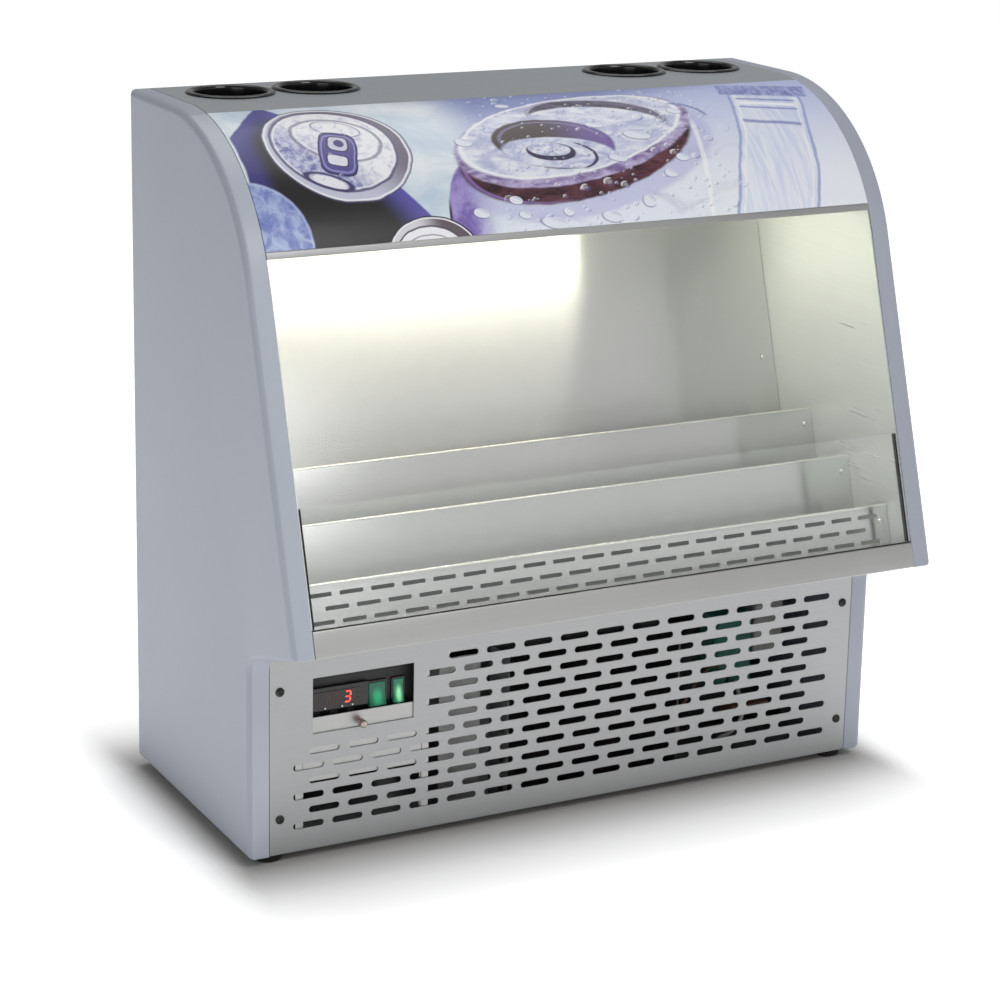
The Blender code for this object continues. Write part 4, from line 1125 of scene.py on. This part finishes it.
def screw(name, point, axis, radius, look, body="cabinet", slot="chrome", **more):
    """A domed head with a cross cut into it, on a thin washer face."""
    matrix = along(axis, point)
    height = radius * 0.5
    profile = [
        (0, 0), (radius, 0), (radius, height * 0.3), (radius * 0.92, height * 0.6),
        (radius * 0.7, height * 0.88),
    ]
    profile += [(radius * 0.45, height), (radius * 0.42, height * 0.55), (0, height * 0.35)]
    bm = bmesh.new()
    add_lathe(bm, profile, 24, matrix)
    for turn in (0, math.pi / 2):
        spin = matrix @ Matrix.Translation((0, 0, height * 0.55)) @ Matrix.Rotation(turn, 4, "Z")
        size = Matrix.Diagonal((radius * 0.9, radius * 0.14, height * 0.5, 1))
        bmesh.ops.create_cube(bm, size=1, matrix=spin @ size)
    return piece(name, bm, look, body=body, slot=slot, smooth=50, **more)


def display():
    """The stainless display: liners, back plate, floor, stepped plates, air grille, sill and guard."""
    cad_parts["liner_back"].data.materials[0] = LOOKS["liner"]
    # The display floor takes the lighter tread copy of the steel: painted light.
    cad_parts["display_floor"].data.materials[0] = LOOKS["tread"]
    # The side liners take the green-tinted, lighter copy of the steel: painted reflection and light.
    for side in ("left", "right"):
        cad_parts[f"liner_{side}"].data.materials[0] = LOOKS["side_liner_painted_light"]

    tread_drop = 0.056
    steps = (("rear", 0.175, 0.151, 0.210), ("middle", 0.121, 0.0925, 0.151))
    for name, top, back, next_back in steps:
        outline = folded(top, top - tread_drop, back, next_back)
        obj = prism(
            f"plate_{name}", outline, -CLEAR_X, CLEAR_X, "plates",
            slot="stainless", replaces=(f"step_plate_{name}",), smooth=40, extra=("tread",),
        )
        # The upward faces of each folded plate take the lighter tread copy of the steel: painted light.
        for polygon in obj.data.polygons:
            polygon.material_index = int(polygon.normal.z > 0.9)
    low, high, back = 0.0640, 0.1175, 0.1514
    skirt = [
        leaning(low, back), leaning(high, back), leaning(high, back + SHEET),
        leaning(low, back + SHEET),
    ]
    prism(
        "plate_skirt", rounded(skirt, 0.0003, 2), -CLEAR_X, CLEAR_X, "plates", slot="stainless",
        smooth=40,
    )
    air_plate()

    sill = [
        leaning(GAP, 0),
        leaning(GAP, 0.014),
        leaning(0.0255, 0.014),
        leaning(0.0255, 0.0077),
        leaning(0.010, 0.0077),
        leaning(0.010, 0.0031),
        leaning(0.0255, 0.0031),
        leaning(0.0255, 0),
    ]
    prism(
        "sill", rounded(sill, 0.0010, 4), -FIT_X, FIT_X, "light_steel",
        slot="stainless", replaces=("sill_rail",), smooth=40,
    )
    pane = [
        leaning(0.0103, 0.0034), leaning(0.138, 0.0034), leaning(0.138, 0.0074),
        leaning(0.0103, 0.0074),
    ]
    obj = prism(
        "guard_pane", pane, -CLEAR_X, CLEAR_X, "pane",
        slot="clear_pane", replaces=("front_guard",), smooth=0, extra=("pane_edge",),
    )
    for polygon in obj.data.polygons:
        if abs(polygon.normal.x) > 0.9 or polygon.normal.z > 0.6:
            polygon.material_index = 1
    # A dark rubber strip along the sill's top, standing in for the shadow gap there: painted shade.
    bead = [
        leaning(0.0256, 0.0006), leaning(0.0256, 0.0032), leaning(0.0268, 0.0032),
        leaning(0.0268, 0.0012),
    ]
    prism("sill_shadow_gasket", rounded(bead, 0.0003, 3), -FIT_X, FIT_X, "rubber", slot="rubber", smooth=40)
    # Dark rubber strips at the pane's ends, standing in for its shadowed edges: painted shade.
    seal = [
        leaning(0.0270, 0.0030), leaning(0.0270, 0.0078), leaning(0.1376, 0.0078),
        leaning(0.1376, 0.0030),
    ]
    for name, near, far in (("left", -CLEAR_X, 0.0022 - CLEAR_X), ("right", CLEAR_X - 0.0010, CLEAR_X)):
        prism(f"pane_seal_{name}", rounded(seal, 0.0004, 3), near, far, "rubber", slot="rubber", smooth=40)

    heads = (
        ("back", 0.235, 0.2096), ("rear", 0.158, 0.1508), ("middle", 0.104, 0.0923),
        ("air", 0.050, 0.0338),
    )
    axis = (0, -math.cos(LEAN), math.sin(LEAN))
    for name, up, back in heads:
        for side_name, side in (("left", -1), ("right", 1)):
            inset = 0.0095 if name != "back" else 0.014
            point = (side * (CLEAR_X - inset), *leaning(up, back))
            screw(f"{name}_screw_{side_name}", point, axis, 0.0030, "chrome")


def air_plate():
    """The front plate with three rows of air slots, and its folded top and tread."""
    tread = 0.0203 + SHEET + GAP + SHEET
    top, back = 0.067, 0.034
    fold = 0.0035
    pitch, columns = 0.0323, 20
    first = -pitch * (columns - 1) / 2
    holes = []
    for row, up in enumerate((0.030, 0.043, 0.056)):
        shift = row % 2 * pitch / 2
        for column in range(columns - row % 2):
            holes.append(rounded(rectangle(first + column * pitch + shift, up, 0.024, 0.004), 0.0005, 2))
    height = top - fold - tread
    outline = rectangle(0, tread + height / 2, 2 * CLEAR_X, height)
    plate(
        "air_plate", outline, holes, SHEET, "plates", leaning_face(back), 0.00015,
        slot="stainless", replaces=("air_grille",),
    )
    hem = THICK_SHEET
    points = [
        leaning(top - fold, back),
        leaning(top - fold, back + SHEET),
        leaning(top - 0.0045, back + SHEET),
        leaning(top - 0.0045, back + SHEET + hem),
        leaning(top, back + SHEET + hem),
        leaning(top, back),
    ]
    prism(
        "air_plate_hem", rounded(points, 0.0009, 4), -CLEAR_X, CLEAR_X, "plates", slot="stainless",
        smooth=40,
    )
    points = [
        leaning(tread, 0.0925 - GAP),
        leaning(tread, back),
        leaning(tread - SHEET, back),
        leaning(tread - SHEET, 0.0925 - GAP),
    ]
    prism(
        "air_plate_tread", rounded(points, 0.0005, 3), -CLEAR_X, CLEAR_X, "tread", slot="stainless",
        smooth=40,
    )


def hems():
    """Thin polished beads along the folded tops, which catch the lamp."""
    for name, up, back in (("rear", 0.175, 0.151), ("middle", 0.121, 0.0925), ("air", 0.067, 0.034)):
        centre = leaning(up - 0.0009, back + 0.0005)
        outline = circle(centre[0], centre[1], 0.0011, 24)
        prism(f"hem_{name}", outline, -CLEAR_X, CLEAR_X, "bright", slot="stainless", smooth=60)


# --------------------------------------------------------- base and controls

GRILLE_FACE_Y = -0.0965
GRILLE_LOW = 0.012
GRILLE_HIGH = 0.2095
CONTROL_X = -0.234
WINDOW = (0.1075, 0.0565)
WINDOW_Z = 0.15725
CONTROL_Z = 0.155
CONTROL_FACE_Y = -0.084


def slot_places():
    """Middles of the base grille's slots. Rows beside the control window begin to the right of it."""
    pitch, width = 0.0415, 0.032
    for row in range(11):
        staggered = row % 2
        first = (3 if staggered else 4) if row > 5 else 0
        for column in range(first, 15 - staggered):
            yield (-0.308 + (column + 0.4 * staggered) * pitch + width / 2, 0.037 + row * 0.015)


def base_cover():
    """The flat slotted cover and its four black screws."""
    height = GRILLE_HIGH - GRILLE_LOW
    outline = rounded(rectangle(0, GRILLE_LOW + height / 2, 2 * FIT_X, height), 0.0012, 3)
    holes = [stadium(x, z, 0.032, 0.0065) for x, z in slot_places()]
    holes.append(rounded(rectangle(CONTROL_X, WINDOW_Z, *WINDOW), 0.0008, 3))
    plate(
        "base_cover", outline, holes, SHEET, "grille", facing(GRILLE_FACE_Y), 0.00022,
        slot="stainless", replaces=("base_grille",),
    )
    number = 0
    for side in (-1, 1):
        for z in (0.047, 0.177):
            number += 1
            screw(
                f"cover_screw_{number}", (side * 0.322, GRILLE_FACE_Y, z), (0, -1, 0), 0.0045, "black",
                slot="black_plastic", replaces=(f"grille_screw_{number}",),
            )


def shutter():
    """The flat sliding plate, its bronze knob, and the look of the two rails."""
    low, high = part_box("control_shutter")
    centre, size = (low + high) / 2, high - low
    outline = rounded(rectangle(centre.x, centre.z, size.x, size.z), 0.0012, 4)
    plate(
        "shutter_plate", outline, [], high.y - low.y, "light_steel", facing(low.y), 0.0003,
        body="shutter", slot="stainless", replaces=("control_shutter",),
    )
    low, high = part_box("shutter_knob")
    centre = (low + high) / 2
    radius, reach = (high.x - low.x) / 2, high.y - low.y
    profile = [(0, 0), (0.0025, 0), (0.0025, 0.0032), (radius * 0.8, 0.0036), (radius, 0.0046)]
    profile += [
        (radius * 0.90, 0.0060), (radius * 0.90, 0.0085), (radius, 0.0098),
        (radius * 0.94, reach - 0.0008),
    ]
    profile += [(radius * 0.75, reach), (radius * 0.3, reach - 0.0004), (0, reach - 0.0005)]
    turned(
        "knob", profile, "bronze", along((0, -1, 0), (centre.x, high.y, centre.z)), 40,
        body="shutter", slot="chrome", replaces=("shutter_knob",), smooth=50,
    )
    for side in ("left", "right"):
        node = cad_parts[f"shutter_rail_{side}"]
        node.data.materials[0] = LOOKS["light_steel"]


def digit(name, x, z, height, segments, y, look):
    """One figure of seven slanted bars. The bars lit are named a to g, clockwise from the top."""
    width, thick = height * 0.55, height * 0.12
    bars = {
        "a": ((0, height / 2), (width - thick, thick)),
        "g": ((0, 0), (width - thick, thick)),
        "d": ((0, -height / 2), (width - thick, thick)),
        "b": ((width / 2, height / 4), (thick, height / 2 - thick)),
        "c": ((width / 2, -height / 4), (thick, height / 2 - thick)),
        "f": ((-width / 2, height / 4), (thick, height / 2 - thick)),
        "e": ((-width / 2, -height / 4), (thick, height / 2 - thick)),
    }
    bm = bmesh.new()
    for key in segments:
        (dx, dz), (w, h) = bars[key]
        outline = rounded(rectangle(0, 0, w * 0.94, h * 0.94), thick * 0.4, 3)
        points = [(x + dx + u + 0.10 * (dz + v), z + dz + v) for u, v in outline]
        add_prism(bm, points, y - 0.0002, y, "Y")
    piece(name, bm, look, slot="black_plastic", smooth=0)


def controller():
    """The controller's glossy face with its display, lamps and keys, in a black housing."""
    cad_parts["control_housing"].data.materials[0] = LOOKS["soft_black"]
    bezel_x, bezel_width, bezel_height = -0.262, 0.074, 0.032
    front = CONTROL_FACE_Y - 0.004
    outline = rounded(rectangle(bezel_x, CONTROL_Z, bezel_width, bezel_height), 0.0022, 5)
    holes = [rectangle(x, 0.1445, 0.0086, 0.0046) for x in (-0.280, -0.262, -0.244)]
    plate(
        "controller_face", outline, holes, 0.0037, "gloss_black", facing(front), 0.0005,
        slot="black_plastic", replaces=("controller",),
    )
    box(
        "controller_body", (-0.297, CONTROL_FACE_Y, 0.1412), (-0.227, -0.038, 0.1688), "soft_black",
        slot="black_plastic",
    )
    lens = rounded(rectangle(-0.262, 0.1585, 0.056, 0.0165), 0.0012, 4)
    plate("display_lens", lens, [], 0.0006, "lens", facing(front - 0.0006), 0.0002, slot="black_plastic")
    lens_y = front - 0.0006
    for number, (x, bars, look) in enumerate(
        ((-0.2720, "bc", "dim_digit"), (-0.2600, "abcdefg", "dim_digit"), (-0.2475, "abgcd", "digit")), 1
    ):
        digit(f"display_figure_{number}", x, 0.1588, 0.0105, bars, lens_y, look)
    dot = [(0, 0), (0.0007, 0), (0.0007, 0.0003), (0.0004, 0.0005), (0, 0.0005)]
    for number, z in ((1, 0.1560), (2, 0.1610)):
        turned(
            f"display_dot_{number}", dot, "dim_digit", along((0, -1, 0), (-0.2370, lens_y, z)), 16,
            slot="black_plastic",
        )
    dot = [(0, 0), (0.0008, 0), (0.0008, 0.0003), (0.0004, 0.0005), (0, 0.0005)]
    for number, x in enumerate((-0.2905, -0.2710, -0.2530, -0.2420), 1):
        turned(
            f"panel_lamp_{number}", dot, "led_white", along((0, -1, 0), (x, front, 0.1495)), 16,
            slot="white_plastic",
        )
    for number in (1, 2, 3):
        low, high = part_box(f"controller_button_{number}")
        box(
            f"key_{number}", low, high, "soft_black", 0.0005, body=f"button_{number}",
            slot="black_plastic", replaces=(f"controller_button_{number}",),
        )


def rockers():
    """Lit rockers with a dished face, each in a moulded frame."""
    for name, x, width in (("wide", -0.215, 0.0176), ("narrow", -0.1923, 0.0105)):
        half, reach, tilt = 0.0118, 0.0085, math.radians(8)
        outline = []
        for i in range(13):
            share = i / 12
            bow = 0.0018 * (1 - (2 * share - 1) ** 2)
            outline.append((-reach + bow, half * (1 - 2 * share)))
        outline.append((-reach / 2, -half))
        angles = [math.radians(10 * i - 60) for i in range(13)]
        outline += [(reach * math.cos(angle), reach * math.sin(angle)) for angle in angles]
        outline.append((-reach / 2, half))
        turn = Matrix.Rotation(-tilt, 2)
        pivot = Vector((CONTROL_FACE_Y + 0.0035, CONTROL_Z))
        points = [tuple(pivot + turn @ Vector(point)) for point in outline]
        look = "green" if name == "wide" else "green_light"
        obj = prism(
            f"rocker_cap_{name}", points, x - width / 2, x + width / 2, look,
            body=f"{name}_rocker", slot="lit_green", replaces=(f"rocker_{name}",), smooth=35,
        )
        bevel(obj, 0.0006, 2, 40)
        outer = rounded(rectangle(x, CONTROL_Z, width + 0.0042, 0.0292), 0.0014, 4)
        hole = rounded(rectangle(x, CONTROL_Z, width + 0.0007, 0.0251), 0.0004, 2)
        thick = 0.0022
        plate(
            f"rocker_frame_{name}", outer, [hole], thick, "gloss_black", facing(CONTROL_FACE_Y - thick), 0.0004,
            slot="black_plastic",
        )


# -------------------------------------------------------- machine and casing


def feet():
    """Flared rubber feet."""
    for number in (1, 2, 3, 4):
        low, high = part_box(f"foot_{number}")
        centre = (low + high) / 2
        radius, height = (high.x - low.x) / 2, high.z - low.z
        profile = [(0, 0.0004), (radius * 0.80, 0), (radius * 0.94, 0.0007), (radius, 0.0024)]
        profile += [
            (radius * 0.97, 0.0045), (radius * 0.90, height * 0.7), (radius * 0.88, height),
            (0, height),
        ]
        turned(
            f"rubber_foot_{number}", profile, "rubber", Matrix.Translation((centre.x, centre.y, low.z)), 40,
            slot="rubber", replaces=(f"foot_{number}",), smooth=50,
        )


def compressor():
    """A domed, welded can on rubber-mounted feet, with its relay cover and the boxes by it."""
    x, y, radius, floor = 0.235, 0.045, 0.062, 0.0121
    oval = Matrix.Translation((x, y, 0)) @ Matrix.Diagonal((1.15, 1, 1, 1))
    profile = [
        (0, floor + 0.012), (0.040, floor + 0.012), (0.054, floor + 0.018),
        (radius - 0.001, floor + 0.032),
    ]
    profile += [(radius - 0.0015, 0.0840), (radius, 0.0850), (radius, 0.0885), (radius - 0.0015, 0.0895)]
    profile += [
        (radius - 0.0015, 0.108), (0.0575, 0.122), (0.0490, 0.1360), (0.0360, 0.1455), (0.018, 0.1505),
        (0, 0.1515),
    ]
    turned(
        "compressor_can", profile, "dark", oval, 72, slot="dark_metal", replaces=("compressor",),
        smooth=50,
    )
    outline = rounded(rectangle(x, y, 0.166, 0.098), 0.012, 6)
    holes = [circle(x + sx * 0.072, y + sy * 0.038, 0.006, 24) for sx in (-1, 1) for sy in (-1, 1)]
    plate(
        "compressor_foot_plate", outline, holes, 0.003, "dark",
        Matrix.Translation((0, 0, floor + 0.009)), slot="dark_metal",
    )
    number = 0
    for sx in (-1, 1):
        for sy in (-1, 1):
            number += 1
            grommet = [
                (0, 0), (0.009, 0), (0.0095, 0.003), (0.0085, 0.0085), (0.0055, 0.009),
                (0.0055, 0.0125),
            ]
            grommet += [(0.0085, 0.0130), (0.0085, 0.0150), (0.003, 0.0155), (0.003, 0.019), (0, 0.019)]
            place_at = Matrix.Translation((x + sx * 0.072, y + sy * 0.038, floor))
            turned(f"grommet_{number}", grommet, "rubber", place_at, 24, slot="rubber")
    low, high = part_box("relay_cover")
    box("relay_box", low, high, "teal", 0.003, slot="teal_plastic", replaces=("relay_cover",))
    box(
        "relay_lid", (low.x + 0.003, low.y - 0.0015, low.z + 0.006),
        (high.x - 0.003, low.y + 0.001, high.z - 0.006), "teal", 0.001, slot="teal_plastic",
    )
    box(
        "capacitor_box", (0.206 + 0.040, low.y + 0.002, 0.110), (0.282, low.y + 0.030, 0.172),
        "grey_plastic", 0.003, slot="white_plastic",
    )
    box(
        "terminal_block", (0.200, -0.080, 0.062), (0.246, -0.058, 0.074), "brown", 0.001,
        slot="black_plastic",
    )


def wiring():
    """Wires from the relay to the controls, and the copper pipes."""
    runs = (
        (
            "wire_brown", (0.205, -0.052, 0.100), (0.170, -0.078, 0.120), (0.142, -0.072, 0.080),
            0.0016, "brown",
        ),
        (
            "wire_black", (0.212, -0.052, 0.096), (0.180, -0.086, 0.084), (0.150, -0.064, 0.050),
            0.0018, "soft_black",
        ),
        (
            "wire_grey", (0.222, -0.052, 0.090), (0.205, -0.088, 0.060), (0.180, -0.070, 0.032), 0.0022,
            "grey_plastic",
        ),
    )
    for name, first, middle, last, radius, look in runs:
        tube(name, (first, middle, last), radius, look, slot="black_plastic")
    pipes = (
        (
            "discharge_pipe", (0.178, 0.010, 0.130), (0.160, -0.040, 0.140), (0.146, -0.066, 0.150),
            (0.132, -0.066, 0.150), 0.0030,
        ),
        (
            "liquid_pipe", (0.131, -0.060, 0.030), (0.150, -0.050, 0.032), (0.165, -0.020, 0.060),
            (0.150, 0.030, 0.100), 0.0026,
        ),
    )
    for name, first, second, third, last, radius in pipes:
        tube(name, (first, second, third, last), radius, "copper", slot="copper")
    points = ((0.150, 0.060, 0.060), (0.130, 0.070, 0.085), (0.125, 0.090, 0.130), (0.125, 0.100, 0.177))
    tube("suction_line", points, 0.004, "copper", slot="copper", replaces=("suction_pipe",))


def coil(name, node, fins, look, slot, rows):
    """A coil with thin fins, end plates, and tubes that pass through them with bends at the ends."""
    low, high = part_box(node)
    bm = bmesh.new()
    for i in range(fins):
        x = low.x + 0.003 + (high.x - low.x - 0.006) * i / (fins - 1)
        add_box(bm, (x - 0.0001, low.y, low.z + 0.002), (x + 0.0001, high.y, high.z - 0.002))
    piece(name, bm, look, slot=slot, replaces=(node,), smooth=0)
    bm = bmesh.new()
    for x in (low.x, high.x - 0.0012):
        add_box(bm, (x, low.y, low.z), (x + 0.0012, high.y, high.z))
    piece(f"{name}_end_plates", bm, "zinc", slot="galvanised", smooth=0)
    bm = bmesh.new()
    length = high.x - low.x
    rod = [(0, 0), (0.0045, 0), (0.0045, length), (0, length)]
    for row in range(rows):
        z = low.z + (high.z - low.z) * (row + 0.5) / rows
        for y in (low.y + (high.y - low.y) * 0.3, low.y + (high.y - low.y) * 0.7):
            add_lathe(bm, rod, 20, along((1, 0, 0), (low.x, y, z)))
    piece(f"{name}_tubes", bm, "copper", slot="copper", smooth=50)


def fan(name, body, centre, axis, radius, look):
    """Five twisted, swept blades on a domed hub."""
    matrix = along(axis, centre)
    hub = radius * 0.28
    bm = bmesh.new()
    add_lathe(
        bm,
        [(0, 0.0005), (hub * 0.95, 0.0005), (hub, 0.002), (hub, 0.0080), (hub * 0.9, 0.0097), (0, 0.0099)],
        48, matrix,
    )
    rows, columns = 10, 6
    for blade in range(5):
        sheets = []
        for side in (-0.0004, 0.0004):
            grid = []
            for i in range(rows + 1):
                share = i / rows
                distance = hub * 0.92 + (radius - hub * 0.92) * share
                half = math.radians(19 + 8 * math.sin(math.pi * share))
                sweep = math.radians(14) * share
                line = []
                for j in range(columns + 1):
                    across = 2 * j / columns - 1
                    angle = math.tau * blade / 5 + sweep + half * across
                    rise = 0.005 + 0.0042 * across * (1 - 0.25 * share) + side
                    point = Vector((distance * math.cos(angle), distance * math.sin(angle), rise))
                    line.append(bm.verts.new(matrix @ point))
                grid.append(line)
            sheets.append(grid)
        add_slab(bm, *sheets)
    piece(f"{name}_wheel", bm, look, body=body, slot="galvanised", replaces=(name,), smooth=40)


def fan_motor(node, centre, axis, radius, reach):
    """The motor can with its cap, on wire arms inside a rolled ring."""
    matrix = along(axis, centre)
    bm = bmesh.new()
    can = [
        (0, -reach - 0.0118), (0.012, -reach - 0.0118), (0.0158, -reach - 0.009),
        (0.0165, -reach - 0.004),
    ]
    can += [(0.0165, -0.0095), (0.0150, -0.0080), (0.0060, -0.0072), (0.0060, -0.0025), (0, -0.0025)]
    add_lathe(bm, can, 48, matrix)
    piece(f"{node}_can", bm, "dark", slot="dark_metal", replaces=(node,), smooth=40)
    bm = bmesh.new()
    inner, outer = radius + 0.0035, radius + 0.0055
    low, high = -reach + 0.001, -reach + 0.009
    loop = [(inner, low), (outer, low), (outer, high), (inner, high)]
    add_lathe(bm, [*loop, loop[0]], 72, matrix)
    bmesh.ops.remove_doubles(bm, verts=bm.verts, dist=1e-7)
    for i in range(3):
        turn = Matrix.Rotation(math.tau * (i / 3 + 1 / 48), 4, "Z")
        size = Matrix.Diagonal((outer - 0.014, 0.005, 0.002, 1))
        middle = Matrix.Translation(((outer + 0.012) / 2, 0, (low + high) / 2))
        bmesh.ops.create_cube(bm, size=1, matrix=matrix @ turn @ middle @ size)
    piece(f"{node}_ring", bm, "dark", slot="dark_metal", smooth=40)


def machine():
    """The refrigeration machine, and the looks of the plain parts round it."""
    compressor()
    wiring()
    coil("condenser_coil", "condenser", 60, "fins", "dark_metal", 5)
    coil("evaporator_coil", "evaporator", 110, "alloy", "galvanised", 3)
    for name, centre, axis, radius, reach in (
        ("condenser_fan", (0.030, -0.028, 0.095), (0, -1, 0), 0.066, 0.030),
        ("evaporator_fan", (0, 0.112, 0.335), (0, 0, 1), 0.050, 0.024),
    ):
        fan(name, f"{name}_wheel", centre, axis, radius, "alloy")
        fan_motor(f"{name}_motor", centre, axis, radius, reach)
    for node, look in (
        ("junction_box", "light_steel"),
        ("condensate_tray", "black"),
        ("foam_deck", "zinc"),
        ("foam_back", "white"),
        ("base_pan", "zinc"),
    ):
        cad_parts[node].data.materials[0] = LOOKS[look]


def rear():
    """The rear sheet with its rows of rounded vents."""
    y = BACK_Y - GAP - SHEET
    xs = [-0.240 + column * 0.080 for column in range(6)]
    zs = [0.040 + row * 0.020 for row in range(6)]
    vents = [stadium(x, z, 0.060, 0.006) for z in zs for x in xs]
    height = TOP_Z - FOOT_HEIGHT - 0.004
    outline = rounded(rectangle(0, (TOP_Z + FOOT_HEIGHT) / 2, 2 * FIT_X, height), 0.002, 3)
    plate(
        "rear_sheet", outline, vents, SHEET, "panel_back", facing(y), 0.0002,
        slot="painted_panel", replaces=("back_panel",),
    )


def main():
    studio()
    side_panels()
    top_sheet()
    cups()
    canopy_sheet()
    canopy_edges()
    ceiling()
    display()
    hems()
    base_cover()
    shutter()
    controller()
    rockers()
    feet()
    machine()
    rear()
    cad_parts["cord_gland"].data.materials[0] = LOOKS["soft_black"]


main()
